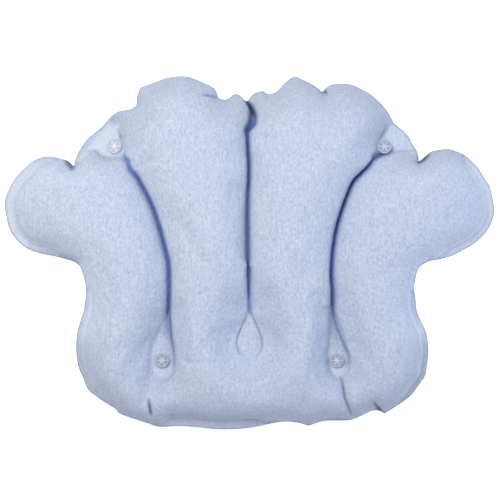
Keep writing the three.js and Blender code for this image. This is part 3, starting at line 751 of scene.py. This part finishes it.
def satinVinyl():
    material, tree, shader = newMaterial("satinVinylSheet", {
        "Roughness": 0.38, "IOR": 1.53, "Subsurface Weight": 0.08, "Subsurface Scale": 2 * mm,
    })
    place = addNode(tree, "ShaderNodeTexCoord").outputs["Object"]
    colour = cloudedColour(tree, place, vinylSheet)[0]
    grainLook = {"Scale": 1 / (vinylSheet["grain"] * mm)}
    grain = addNode(tree, "ShaderNodeTexVoronoi", grainLook, [("Vector", place)])
    linkShader(tree, shader, colour, grain.outputs["Distance"], vinylSheet)
    return material


# Plasticised PVC, injection moulded: clear, glossy, faintly blue, with flow marks; painted shade in the
# buttons' pockets and rims
mouldedVinyl = {
    "base": "#d0dbed",
    "light": "#e6eef9",
    # painted shade colour
    "thin": "#bcc8de",
    "cloud": 5,  # mm between flow marks
    "detail": 2,
    "relief": 0.1,
    "reliefStrength": 0.1,
}


def clearVinyl():
    material, tree, shader = newMaterial("clearMouldedVinyl", {
        "Roughness": 0.14, "IOR": 1.53, "Transmission Weight": 0.25,
    })
    place = addNode(tree, "ShaderNodeTexCoord").outputs["Object"]
    clouded, flow = cloudedColour(tree, place, mouldedVinyl)
    # painted shade where the buttons' pockets and rims are marked
    hollow = addNode(tree, "ShaderNodeAttribute", {"attribute_name": "hollow"})
    tint = {"data_type": "RGBA", 7: linear(mouldedVinyl["thin"])}
    colour = addNode(tree, "ShaderNodeMix", tint, [(0, hollow.outputs["Fac"]), (6, clouded)])
    linkShader(tree, shader, colour.outputs[2], flow, mouldedVinyl)
    return material


# Thin PVC film bonded behind the towelling: milky, half gloss
filmLook = {"base": "#d3def1", "light": "#e2eaf6", "cloud": 30, "detail": 2}  # mm


def milkyFilm():
    material, tree, shader = newMaterial("vinylFilm", {"Roughness": 0.3, "IOR": 1.53})
    place = addNode(tree, "ShaderNodeTexCoord").outputs["Object"]
    tree.links.new(cloudedColour(tree, place, filmLook)[0], shader.inputs["Base Color"])
    return material


def layerOf(bm, welded, depth):  # a copy of the sheet that lies this far under it, flat along the welds
    layer = bm.copy()
    layer.normal_update()
    for v, isFlat in zip(layer.verts, welded):
        outward = Vector((0, 0, math.copysign(1, v.normal.z))) if isFlat else v.normal
        v.co = v.co - outward * depth
    return layer


def subdivided(bm):  # once subdivided and rounded
    trial = objectOf("sheetToRound", bm)
    modifier = trial.modifiers.new("fine", "SUBSURF")
    modifier.levels = 1
    modifier.render_levels = 1
    fine = bmesh.new()
    fine.from_object(trial, bpy.context.evaluated_depsgraph_get())
    discard(trial)
    fine.normal_update()
    return fine


def boundaryLoops(bm, faces):  # edge loops round the rim and the holes of one layer
    edges = {edge for face in faces for edge in face.edges if edge.is_boundary}
    loops = []
    while edges:
        loop = [edges.pop()]
        reach = list(loop[0].verts)
        while reach:
            found = [edge for edge in reach.pop().link_edges if edge in edges]
            for edge in found:
                edges.remove(edge)
                loop.append(edge)
                reach.extend(edge.verts)
        loops.append(loop)
    return loops


def loopCentre(loop):
    return sum((v.co for edge in loop for v in edge.verts), Vector()) / (2 * len(loop))


def closedShell(outer, inner):  # two layers joined round the rim and the holes
    bm = bmesh.new()
    mesh = bpy.data.meshes.new("layer")
    outer.to_mesh(mesh)
    bm.from_mesh(mesh)
    outerFaces = list(bm.faces)
    bmesh.ops.reverse_faces(inner, faces=inner.faces)
    inner.to_mesh(mesh)
    bm.from_mesh(mesh)
    bm.faces.ensure_lookup_table()
    innerFaces = list(bm.faces)[len(outerFaces):]
    bpy.data.meshes.remove(mesh)
    innerLoops = boundaryLoops(bm, innerFaces)
    for loop in boundaryLoops(bm, outerFaces):
        centre = loopCentre(loop)
        mate = min(innerLoops, key=lambda other: (loopCentre(other) - centre).length)
        bmesh.ops.bridge_loops(bm, edges=loop + mate)
    bmesh.ops.recalc_face_normals(bm, faces=bm.faces)
    return bm


# Looped pile, mm
pile = {
    "tuftScale": 3.2,
    "tuftDepth": 0.5,
    "tuftLevel": 0.35,
    "tuftOctaves": 2,
    "foldSteep": 1.5,  # painted blue shade reaches this far from a channel on its steep side
    "foldShade": 0.8,
    "coreReach": 1.2,  # painted dark shade in the bottom of a channel
    "neckShade": 0.6,  # painted blue shade along the right of a drop, fading downwards
    "neckWidth": 8,
    "neckLength": 40,
    "slitSoft": 1,
    "slitShade": 0.85,
    "slitDark": (146, 156),  # painted dark shade above, painted blue shade below
    "beadWidth": 1.6,  # ridge along the inner edge of the wide flange, with a painted highlight
    "beadHeight": 0.7,
    "flangePaintedLight": 0.35,  # painted light on the flat flange of the wings
    "seamPlace": 2.5,  # painted shade in a line inside that ridge
    "seamWidth": 2.5,
    "seamShade": 0.12,
    "hemShade": 0.45,  # and along the bottom edge
    "edgeWidth": 1.1,  # painted shade along the cut edge of the cloth
    "rollWidth": 27,  # painted shade towards the top and the bottom of the rim
    "rollShade": 0.4,
    "rollFrom": 85,
    "hemTone": 0.14,  # and greyer towards the bottom edge
    "hemReach": (-105, -145),
    "flatSoft": 4,
    "dropFoot": (-124, -134),
}
cornerPaintedLight = {"leftCorner": 0.45, "rightCorner": 0.1}  # painted light on the flat patches round the upper cups
dropPaintedLight = {"leftDrop": 0.5, "rightDrop": 0.5}  # and below the lower ones

# Lines pressed into the pile, with painted dark shade along them, tapered at both ends: points in mm, depth
# in mm, strength of the painted shade and half width in mm
pressedLines = {
    "centreDropLeft": (
        [(-1, -58), (-5, -76), (-10, -87), (-13.5, -97), (-13.5, -105), (-11, -111.5), (-6, -115.5)],
        0.6, 0.3, 1.2,
    ),
    "centreDropRight": (
        [(-0.5, -58), (4, -74.5), (9.5, -86), (13, -96), (13.5, -105), (10.5, -113), (5, -117.5)],
        0.8, 0.4, 1.2,
    ),
    "leftDropRight": ([(-90, -40), (-90, -64.5), (-88.2, -92.5), (-85.7, -109.5), (-85, -130)], 1, 0.6, 1.3),
    "rightDropRight": (
        [
            (92, -42), (92.5, -60), (93.5, -68), (97, -81.5), (101.5, -92.5), (107, -105.5), (111, -117),
            (109, -131),
        ],
        1, 0.6, 1.3,
    ),
    "rightDropLeft": ([(91.5, -62), (90.8, -90), (88.5, -108), (87.5, -122), (92, -136)], 0.6, 0.15, 1.4),
    "rightDropFold": (
        [(101.5, -138), (104, -145.5), (105.5, -156.5), (108, -166.5), (115, -184)],
        1, 0.75, 1.3,
    ),
    "rightPucker": ([(138, -166.5), (143.5, -173.5), (151, -181)], 1, 0.9, 1.3),
    "leftPucker": ([(-113, -163), (-112, -169), (-110.5, -177), (-109.5, -183)], 1, 0.85, 1.4),
    "leftCorner": ([(-147.5, 140.5), (-146, 133), (-143.5, 124.5)], 0.8, 0.45, 1.2),
    "leftCornerTop": ([(-156, 150), (-152, 146.5), (-150, 142)], 0.5, 0.3, 3.5),
    "leftCornerFoot": (
        [
            (-186, 112.5), (-173.5, 114), (-167.5, 109.5), (-160, 107), (-153, 106), (-145.5, 106.5),
            (-139, 102),
        ],
        0.8, 0.25, 1.6,
    ),
    "rightCorner": ([(155.5, 141.5), (150, 133), (146, 125.5)], 0.8, 0.4, 2),
    "rightCornerFoot": ([(137, 104), (142, 109.5), (148, 111.5), (153, 112.5), (163, 115.5)], 1, 0.75, 3),
    "rightCornerLine": ([(155, 114), (173.5, 114), (188, 114)], 0.7, 0.3, 1.1),
    "leftLobe": ([(-52, 176), (-41, 174.5), (-34, 173)], 1, 0.6, 1.3),
    "rightNotch": ([(81.5, 184), (84, 181), (86.5, 176.5)], 1, 0.7, 1.8),
    "leftWingNotch": ([(-207, 105), (-202.5, 100), (-199.5, 96.5), (-199, 91)], 0.5, 0.75, 3.2),
    "rightWingNotch": ([(188, 100), (193, 102.5), (197, 106), (202, 112)], 0.5, 0.85, 1.9),
    "slitTop": ([(-5, 172), (0, 165), (3.5, 158.5), (5.5, 152)], 0.5, 1, 1.6),
    "leftDropNeck": ([(-89.5, -50), (-90.5, -68), (-92, -82), (-94, -97)], 0, 0.3, 4),
    "rightDropNeck": ([(91.5, -42), (92.5, -66), (94.5, -84), (97, -98), (98, -112)], 0, 0.22, 5),
    "leftArmpit": ([(-250, 7), (-232, 1), (-206, -5), (-190, -14)], 0.5, 0.25, 5),
}


def paintedChannelShade(places, within):  # painted blue and dark shade in the channels, the drops' necks and the slit
    nearX, number, gap = nearest(channelTree, places)
    opens = (places[:, 0] - nearX) * channelLook["side"][number] > 0
    blue = np.where(opens, channelLook["blue"][number], pile["foldSteep"])
    paintedBlueShade = pile["foldShade"] * fade(gap, blue)
    deep = channelLook["dark"][number] * fade(gap, pile["coreReach"])
    for name in ("leftDrop", "rightDrop"):
        line = patchLines[name]
        toEdge = distanceTo(treeOf(line[rightOf(line, line) > 0]), places)
        neck = fade(line[0, 1] - places[:, 1], pile["neckLength"]) * fade(toEdge, pile["neckWidth"])
        paintedBlueShade = np.maximum(paintedBlueShade, pile["neckShade"] * neck * (within[name] > 0))
    slit = smoothStep(0, pile["slitSoft"], within["topSlit"])
    dark = smoothStep(*pile["slitDark"], places[:, 1])
    deep = np.maximum(deep, pile["slitShade"] * slit * dark)
    paintedBlueShade = np.maximum(paintedBlueShade, slit * (1 - dark))
    return paintedBlueShade, deep


def ridgeAndPaintedLightOf(places, within, toRim, flange):  # ridge along the wide flange, with painted light on it and on the flats
    ridgeAndPaintedLight = fade(distanceTo(flangeTree, places), pile["beadWidth"])
    wing = (flange > sheet["wideFlange"]) & (places[:, 1] > towel["wingLowest"])
    ridgeAndPaintedLight = np.maximum(ridgeAndPaintedLight, pile["flangePaintedLight"] * (wing & (toRim < flange)))
    foot = smoothStep(*pile["dropFoot"], places[:, 1])
    for name, pale in cornerPaintedLight.items():
        ridgeAndPaintedLight = np.maximum(ridgeAndPaintedLight, pale * smoothStep(0, pile["flatSoft"], within[name]))
    for name, pale in dropPaintedLight.items():
        ridgeAndPaintedLight = np.maximum(ridgeAndPaintedLight, pale * foot * smoothStep(0, pile["flatSoft"], within[name]))
    return ridgeAndPaintedLight


def paintedEdgeShade(places, within, toRim, flange):  # painted shade at the cut edge, inside a wide flange and at top and bottom; greyer at the bottom edge
    seam = np.where(places[:, 1] < towel["hemHighest"], pile["hemShade"], pile["seamShade"])
    seam *= fade(toRim - flange - pile["seamPlace"], pile["seamWidth"]) * (flange > sheet["wideFlange"])
    roll = pile["rollShade"] * fade(toRim, pile["rollWidth"])
    roll *= smoothStep(pile["rollFrom"], pile["rollFrom"] + pile["rollWidth"], np.abs(places[:, 1]))
    for name in cornerPaintedLight:
        toCorner = distanceTo(treeOf(patchLines[name]), places) * (within[name] == 0)
        roll *= smoothStep(0, pile["flatSoft"], toCorner)
    roll = np.maximum(roll, pile["hemTone"] * smoothStep(*pile["hemReach"], places[:, 1]))
    return np.maximum(fade(toRim, pile["edgeWidth"]), np.maximum(seam, roll))


def finishPile(bm):  # tufts, pressed lines, the bead of the rim weld, and the painted shade and light of the loops
    places = placesOf(bm) / mm
    toRim = distanceTo(rimTree, places)
    flange = flangeWidth(places)
    within = {}
    for name, loop in patchLines.items():
        within[name] = distanceTo(treeOf(loop), places) * insideOf(loop, places)
    paintedBlueShade, deep = paintedChannelShade(places, within)
    ridgeAndPaintedLight = ridgeAndPaintedLightOf(places, within, toRim, flange)
    edge = paintedEdgeShade(places, within, toRim, flange)
    press = np.zeros(len(places))
    for points, depth, strength, width in pressedLines.values():
        near, along = nearLine(points, places, width)
        near *= np.sqrt(np.maximum(0, 4 * along * (1 - along)))
        press = np.maximum(press, depth * near)
        # painted dark shade along the pressed lines
        deep = np.maximum(deep, strength * near)
    rise = ridgeAndPaintedLight * pile["beadHeight"] - press
    # painted blue shade, painted light, painted rim shade and painted dark shade, kept on the points
    layers = [bm.verts.layers.float.new(name) for name in ("paintedBlueShade", "ridgeAndPaintedLight", "edge", "deep")]
    tuftScale = pile["tuftScale"] * mm
    for v, up, *marks in zip(bm.verts, rise, paintedBlueShade, ridgeAndPaintedLight, edge, deep):
        tuft = noise.turbulence(v.co / tuftScale, pile["tuftOctaves"], False) - pile["tuftLevel"]
        v.co = v.co + v.normal * (tuft * pile["tuftDepth"] + up) * mm
        for layer, mark in zip(layers, marks):
            v[layer] = mark


film = {"gap": 0.3, "thickness": 0.4}  # mm, behind the towelling


def addFront():
    coarse, welded = frontSheet()
    filmDepth = towel["thickness"] + film["gap"]
    filmFace = layerOf(coarse, welded, filmDepth * mm)
    filmBack = layerOf(coarse, welded, (filmDepth + film["thickness"]) * mm)
    inner = layerOf(coarse, welded, towel["thickness"] * mm)
    fine = subdivided(coarse)
    finishPile(fine)
    front = newObject("towelling_front", closedShell(fine, inner), terryTowelling())
    dress(front, "pillow", "towelling", "front_cover")
    lining = newObject("film_lining", closedShell(filmFace, filmBack), milkyFilm())
    dress(lining, "pillow", "clear_film", "front_film")
    print("front made")


addFront()

# Vinyl back, mm
back = {
    "weldHeight": 25,
    "thickness": 0.5,
    "crown": 22,
    "floorGap": 0.8,
    "dimpleDepth": 13,  # floor of the dimple round the valve, below the welds
    "dimpleRadius": 17,
    "dimpleSlope": 0.9,
    "dimpleRound": 3,
    "valveHole": 8.9,
    "bondRadius": 15.5,  # film bonded to the valve's flange
}
backAir = {
    "cloth": {
        "quality": 6, "mass": 0.2, "tension_stiffness": 25, "compression_stiffness": 25,
        "shear_stiffness": 10, "bending_stiffness": 0.4, "air_damping": 4, "uniform_pressure_force": 3,
        "shrink_min": -0.01,
    },
    "frames": 16,
    "cap": 2.2,
    "sideShare": 0.5,
}


def backSheet():
    valveHole = (valveCentre, back["valveHole"])
    bm, nodes = flatSheet([*cupHoles, valveHole])
    welded, room = weldedPoints(bm)
    toValve = np.linalg.norm(placesOf(bm) - valveCentre, axis=1)
    bonded = toValve < back["bondRadius"]
    blown = back["crown"] * swellOf(nodes, welded & ~bonded, valveHole)
    dimple = back["dimpleDepth"] + back["dimpleSlope"] * np.maximum(0, toValve - back["dimpleRadius"])
    rounded = (blown + dimple - np.hypot(blown - dimple, back["dimpleRound"])) / 2
    swell = np.where(bonded, back["dimpleDepth"], np.where(welded, 0, np.maximum(0, rounded)))
    setHeights(bm, back["weldHeight"] - swell)
    bmesh.ops.scale(bm, vec=(mm, mm, mm), verts=bm.verts)
    bmesh.ops.reverse_faces(bm, faces=bm.faces)
    bm.normal_update()
    inflate(bm, welded | bonded, room, backAir)
    for v in bm.verts:
        v.co.z = max(v.co.z, back["floorGap"] * mm)
    bm.normal_update()
    return bm, welded | bonded


def addBack():
    coarse, welded = backSheet()
    inner = layerOf(coarse, welded, back["thickness"] * mm)
    fine = subdivided(coarse)
    piece = newObject("vinyl_back", closedShell(fine, inner), satinVinyl())
    dress(piece, "pillow", "vinyl_back", "back_panel")
    print("back made")


addBack()

# Spun mouldings
moulding = {
    "sides": 48,
    "joined": 0.001,  # mm
    "sharp": 28,  # degrees from which an edge is rounded
    "segments": 2,
}


def turned(profile, centre, closed=False):  # radius and height pairs in mm, spun about an upright axis
    bm = bmesh.new()
    line = [bm.verts.new((radius * mm, 0, height * mm)) for radius, height in profile]
    edges = [bm.edges.new(pair) for pair in zip(line, line[1:])]
    if closed:
        edges.append(bm.edges.new((line[-1], line[0])))
    bmesh.ops.spin(
        bm, geom=line + edges, cent=(0, 0, 0), axis=(0, 0, 1), angle=2 * math.pi, steps=moulding["sides"],
        use_merge=True,
    )
    bmesh.ops.remove_doubles(bm, verts=bm.verts, dist=moulding["joined"] * mm)
    bmesh.ops.recalc_face_normals(bm, faces=bm.faces)
    bmesh.ops.translate(bm, vec=(centre[0] * mm, centre[1] * mm, 0), verts=bm.verts)
    return bm


def roundEdges(piece, width):
    bevel = piece.modifiers.new("moulded edges", "BEVEL")
    bevel.width = width * mm
    bevel.segments = moulding["segments"]
    bevel.limit_method = "ANGLE"
    bevel.angle_limit = math.radians(moulding["sharp"])
    bevel.harden_normals = True


# Suction cups, mm: bell under the back, neck through the welds, spoked button over the towelling
cup = {
    "lipRadius": 21,
    "lipWidth": 1.6,
    "hollow": 9.4,
    "hollowBelly": (0.55, 0.7),  # bend of the hollow, in shares of its radius and depth
    "bellHeight": 15,
    "bellBelly": (0.72, 0.56),  # bend of the bell, in shares of its radius and height
    "curveStep": 2.4,
    "stalkRadius": 5.6,
    "collarRadius": 7.6,
    "collarFoot": 22.3,
    "collarTop": 24.7,
    "neckRadius": 4,
    "buttonRadius": 8.2,
    "buttonFoot": 29,
    "buttonTop": 31.8,
    "buttonEdge": 0.7,
    "pocketRadius": 6.5,
    "pocketDepth": 1.2,
    "pocketDraft": 0.2,
    "hubRadius": 2.2,
    "spokes": 6,
    "spokeWidth": 1.4,
    "rimPaintedShade": 0.45,  # painted shade round the rim of the button
    "rimFrom": 4.4,  # outside this radius
    "nearby": 0.1,
    "edge": 0.25,
}


def bellCurve(first, last, radius, height, belly):  # bent by shares of the radius and height
    middle = (belly[0] * radius, belly[1] * height)
    return smoothLine([first, middle, last], cup["curveStep"])


def cupProfile():
    c = cup
    lipInner = c["lipRadius"] - c["lipWidth"]
    bellFoot = (c["lipRadius"], c["lipWidth"] / 2)
    bellTop = (c["stalkRadius"], c["bellHeight"])
    stalkTop = c["collarFoot"] - c["collarRadius"] + c["stalkRadius"]
    return [
        *bellCurve((0, c["hollow"]), (lipInner, 0), lipInner, c["hollow"], c["hollowBelly"]),
        (c["lipRadius"], 0),
        *bellCurve(bellFoot, bellTop, c["lipRadius"], c["bellHeight"], c["bellBelly"]),
        (c["stalkRadius"], stalkTop), (c["collarRadius"], c["collarFoot"]),
        (c["collarRadius"], c["collarTop"]), (c["neckRadius"], c["collarTop"]),
        (c["neckRadius"], c["buttonFoot"]), (c["buttonRadius"], c["buttonFoot"]),
        (c["buttonRadius"], c["buttonTop"] - c["buttonEdge"]),
        (c["buttonRadius"] - c["buttonEdge"], c["buttonTop"]), (c["pocketRadius"], c["buttonTop"]),
        (c["hubRadius"], c["buttonTop"]), (0, c["buttonTop"]),
    ]


def sinkPockets(bm, centre):  # hollows between the spokes of the button
    share = 2 * math.pi / cup["spokes"]
    rimHalf = share / 2 - cup["spokeWidth"] / 2 / cup["pocketRadius"]
    hubHalf = share / 2 - cup["spokeWidth"] / 2 / cup["hubRadius"]
    middle = Vector((*centre, cup["buttonTop"])) * mm
    pockets = {}
    for face in bm.faces:
        arm = (face.calc_center_median() - middle) / mm
        if abs(arm.z) < cup["nearby"] and cup["hubRadius"] < arm.xy.length < cup["pocketRadius"]:
            turn = math.atan2(arm.y, arm.x) % (2 * math.pi)
            if abs(turn % share - share / 2) < rimHalf:
                pockets.setdefault(int(turn // share), []).append(face)
    for v in {v for faces in pockets.values() for face in faces for v in face.verts}:
        arm = v.co - middle
        if arm.xy.length < (cup["hubRadius"] + cup["nearby"]) * mm:
            off = math.atan2(arm.y, arm.x) % share - share / 2
            narrower = Matrix.Rotation(off * hubHalf / rimHalf - off, 2)
            v.co.xy = middle.xy + narrower @ arm.xy
    # painted shade: grey round the rim of the button, darker in the floors of the pockets
    hollow = bm.verts.layers.float.new("hollow")
    for v in bm.verts:
        if v.co.z > cup["buttonFoot"] * mm and (v.co - middle).xy.length > cup["rimFrom"] * mm:
            v[hollow] = cup["rimPaintedShade"]
    for faces in pockets.values():
        bmesh.ops.inset_region(
            bm, faces=faces, thickness=cup["pocketDraft"] * mm, depth=-cup["pocketDepth"] * mm,
            use_boundary=True, use_even_offset=True,
        )
        for v in {v for face in faces for v in face.verts}:
            v[hollow] = 1


def addCups():
    clear = clearVinyl()
    for name, centre in cupCentres.items():
        bm = turned(cupProfile(), centre)
        sinkPockets(bm, centre)
        place = name.removeprefix("suction_cup_")
        piece = newObject("cup_" + place, bm, clear)
        roundEdges(piece, cup["edge"])
        dress(piece, "cup_" + place, "cup_vinyl", name)
    print("cups made")


addCups()

# Valve in the back, mm: heights above the floor the pillow lies on
valve = {
    "flangeRadius": 15,
    "flangeFoot": 10.7,
    "flangeTop": 11.7,
    "collarRadius": 8.6,
    "collarBore": 7.4,
    "collarTop": 14.5,
    "webRoot": 13.1,
    "webTip": 23,
    "webWall": 0.8,
    "webGap": 0.3,
    "webCuff": 1.4,  # height that grips the stem
    "webFold": 0.05,  # share of its height left when the stem is pulled out
    "stemRadius": 4.6,
    "stemBore": 2.8,
    "stemFoot": 8.5,
    "stemTop": 24.5,
    "lipRadius": 5.6,
    "lipHeight": 1.2,
    "headRadius": 6.2,
    "headFoot": 6.3,
    "headTop": 8.2,
    "headEdge": 0.6,
    "shankRadius": 2.65,
    "noseTop": 17.2,
    "noseTaper": 1.1,
    "flapRadius": 4.6,
    "flapFoot": 24.8,
    "flapTop": 25.3,
    "strapWidth": 3.4,
    "strapThickness": 1,
    "strapStemEnd": 5.9,
    "strapHeadEnd": 6.5,
    "strapUpper": 9.6,
    "strapLower": 6.75,
    "strapReach": 11,
    "strapPoints": 13,  # round its bend
    "edge": 0.2,
}


def valveProfiles():
    v = valve
    base = [
        (v["collarBore"], v["flangeFoot"]), (v["flangeRadius"], v["flangeFoot"]),
        (v["flangeRadius"], v["flangeTop"]), (v["collarRadius"], v["flangeTop"]),
        (v["collarRadius"], v["collarTop"]), (v["collarBore"], v["collarTop"]),
    ]
    root = v["collarBore"] - v["webGap"]
    tip = v["stemRadius"] + v["webGap"]
    web = [
        (root - v["webWall"], v["webRoot"]), (root, v["webRoot"]), (root, v["collarTop"]),
        (tip + v["webWall"], v["webTip"]), (tip, v["webTip"]), (tip, v["webTip"] - v["webCuff"]),
    ]
    lipFoot = v["stemFoot"] + v["lipHeight"]
    lipTop = v["stemTop"] - v["lipHeight"]
    stem = [
        (v["stemBore"], v["stemFoot"]), (v["lipRadius"], v["stemFoot"]), (v["lipRadius"], lipFoot),
        (v["stemRadius"], lipFoot), (v["stemRadius"], lipTop), (v["lipRadius"], lipTop),
        (v["lipRadius"], v["stemTop"]), (v["stemBore"], v["stemTop"]),
    ]
    plug = [
        (0, v["headFoot"]), (v["headRadius"] - v["headEdge"], v["headFoot"]),
        (v["headRadius"], v["headFoot"] + v["headEdge"]), (v["headRadius"], v["headTop"]),
        (v["shankRadius"], v["headTop"]), (v["shankRadius"], v["noseTop"] - v["shankRadius"]),
        (v["shankRadius"] - v["noseTaper"], v["noseTop"]), (0, v["noseTop"]),
    ]
    flap = [
        (0, v["flapFoot"]), (v["flapRadius"], v["flapFoot"]),
        (v["flapRadius"], v["flapTop"]), (0, v["flapTop"]),
    ]
    return {"base": base, "web": web, "stem": stem, "plug": plug, "flap": flap}


def strapMesh():  # a flat U from the lip of the stem to the head of the stopper
    v = valve
    radius = (v["strapUpper"] - v["strapLower"]) / 2
    middle = (v["strapReach"] - radius, (v["strapUpper"] + v["strapLower"]) / 2)
    bend = [(math.sin(a), math.cos(a)) for a in np.linspace(0, math.pi, v["strapPoints"])]
    bm = bmesh.new()
    sides = []
    for inset in (0, v["strapThickness"]):
        reach = radius - inset
        line = [(v["strapStemEnd"], v["strapUpper"] - inset)]
        line += [(middle[0] + reach * x, middle[1] + reach * z) for x, z in bend]
        line.append((v["strapHeadEnd"], v["strapLower"] + inset))
        sides.append([bm.verts.new((x * mm, -v["strapWidth"] / 2 * mm, z * mm)) for x, z in line])
    outer, inner = sides
    faces = [bm.faces.new((a, b, d, c)) for a, b, c, d in zip(outer, outer[1:], inner, inner[1:])]
    wide = bmesh.ops.extrude_face_region(bm, geom=faces, use_keep_orig=True)
    moved = [item for item in wide["geom"] if isinstance(item, bmesh.types.BMVert)]
    bmesh.ops.translate(bm, vec=(0, v["strapWidth"] * mm, 0), verts=moved)
    bmesh.ops.recalc_face_normals(bm, faces=bm.faces)
    bmesh.ops.translate(bm, vec=(valveCentre[0] * mm, valveCentre[1] * mm, 0), verts=bm.verts)
    return bm


def addValve():
    clear = clearVinyl()
    thin = milkyFilm()
    rides = {"base": "pillow", "web": "pillow", "stem": "stem", "plug": "plug", "flap": "flap"}
    for part, profile in valveProfiles().items():
        bm = turned(profile, valveCentre, closed=part in ("base", "web", "stem"))
        piece = newObject("valve_part_" + part, bm, thin if part == "flap" else clear)
        roundEdges(piece, valve["edge"])
        dress(piece, rides[part], "clear_film" if part == "flap" else "valve_vinyl", "valve_" + part)
        if part == "web":
            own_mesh(piece)
    strap = newObject("valve_part_strap", strapMesh(), clear)
    roundEdges(strap, valve["edge"])
    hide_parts("valve_strap")
    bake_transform(strap)
    print("valve made")


addValve()

# Studio, metres and watts
studio = {
    "floorHalf": 4.0,
    "floorColour": "#f6f7f8",
    "floorGlow": 0.62,
    "floorGap": 0.0002,
    "skyColour": "#efeeff",
    "sky": 0.455,
    "keyPlace": (-0.36, 0.36, 1.09),
    "keySize": 0.8,
    "keyPower": 9.6,
    "keyColour": "#fffcf0",
    "fillPlace": (0.98, 0.0, 0.69),
    "fillSize": 0.8,
    "fillPower": 3.7,
    "fillColour": "#dfeeff",
}


def addFloor():
    bm = bmesh.new()
    bmesh.ops.create_grid(bm, x_segments=1, y_segments=1, size=studio["floorHalf"])
    bmesh.ops.translate(bm, vec=(0, 0, -studio["floorGap"]), verts=bm.verts)
    material = newMaterial("opalAcrylicTable", {  # lit from below, so it shows white
        "Roughness": 0.9, "Base Color": linear(studio["floorColour"]),
        "Emission Color": linear(studio["floorColour"]), "Emission Strength": studio["floorGlow"],
    })[0]
    newObject("floor", bm, material)


def addLight(name):
    data = bpy.data.lights.new(name + "Light", "AREA")
    data.size = studio[name + "Size"]
    data.energy = studio[name + "Power"]
    data.color = linear(studio[name + "Colour"])[:3]
    light = newLinked(name + "Light", data)
    light.location = studio[name + "Place"]
    light.rotation_euler = (-light.location).to_track_quat("-Z", "Y").to_euler()
    light.visible_camera = False


def addStudio():
    addFloor()
    addLight("key")
    addLight("fill")
    world = bpy.data.worlds.new("studio")
    world.use_nodes = True
    sky = world.node_tree.nodes["Background"]
    sky.inputs["Color"].default_value = linear(studio["skyColour"])
    sky.inputs["Strength"].default_value = studio["sky"]
    scene.world = world
    scene.view_settings.view_transform = "Standard"
    print("studio lit")


addStudio()
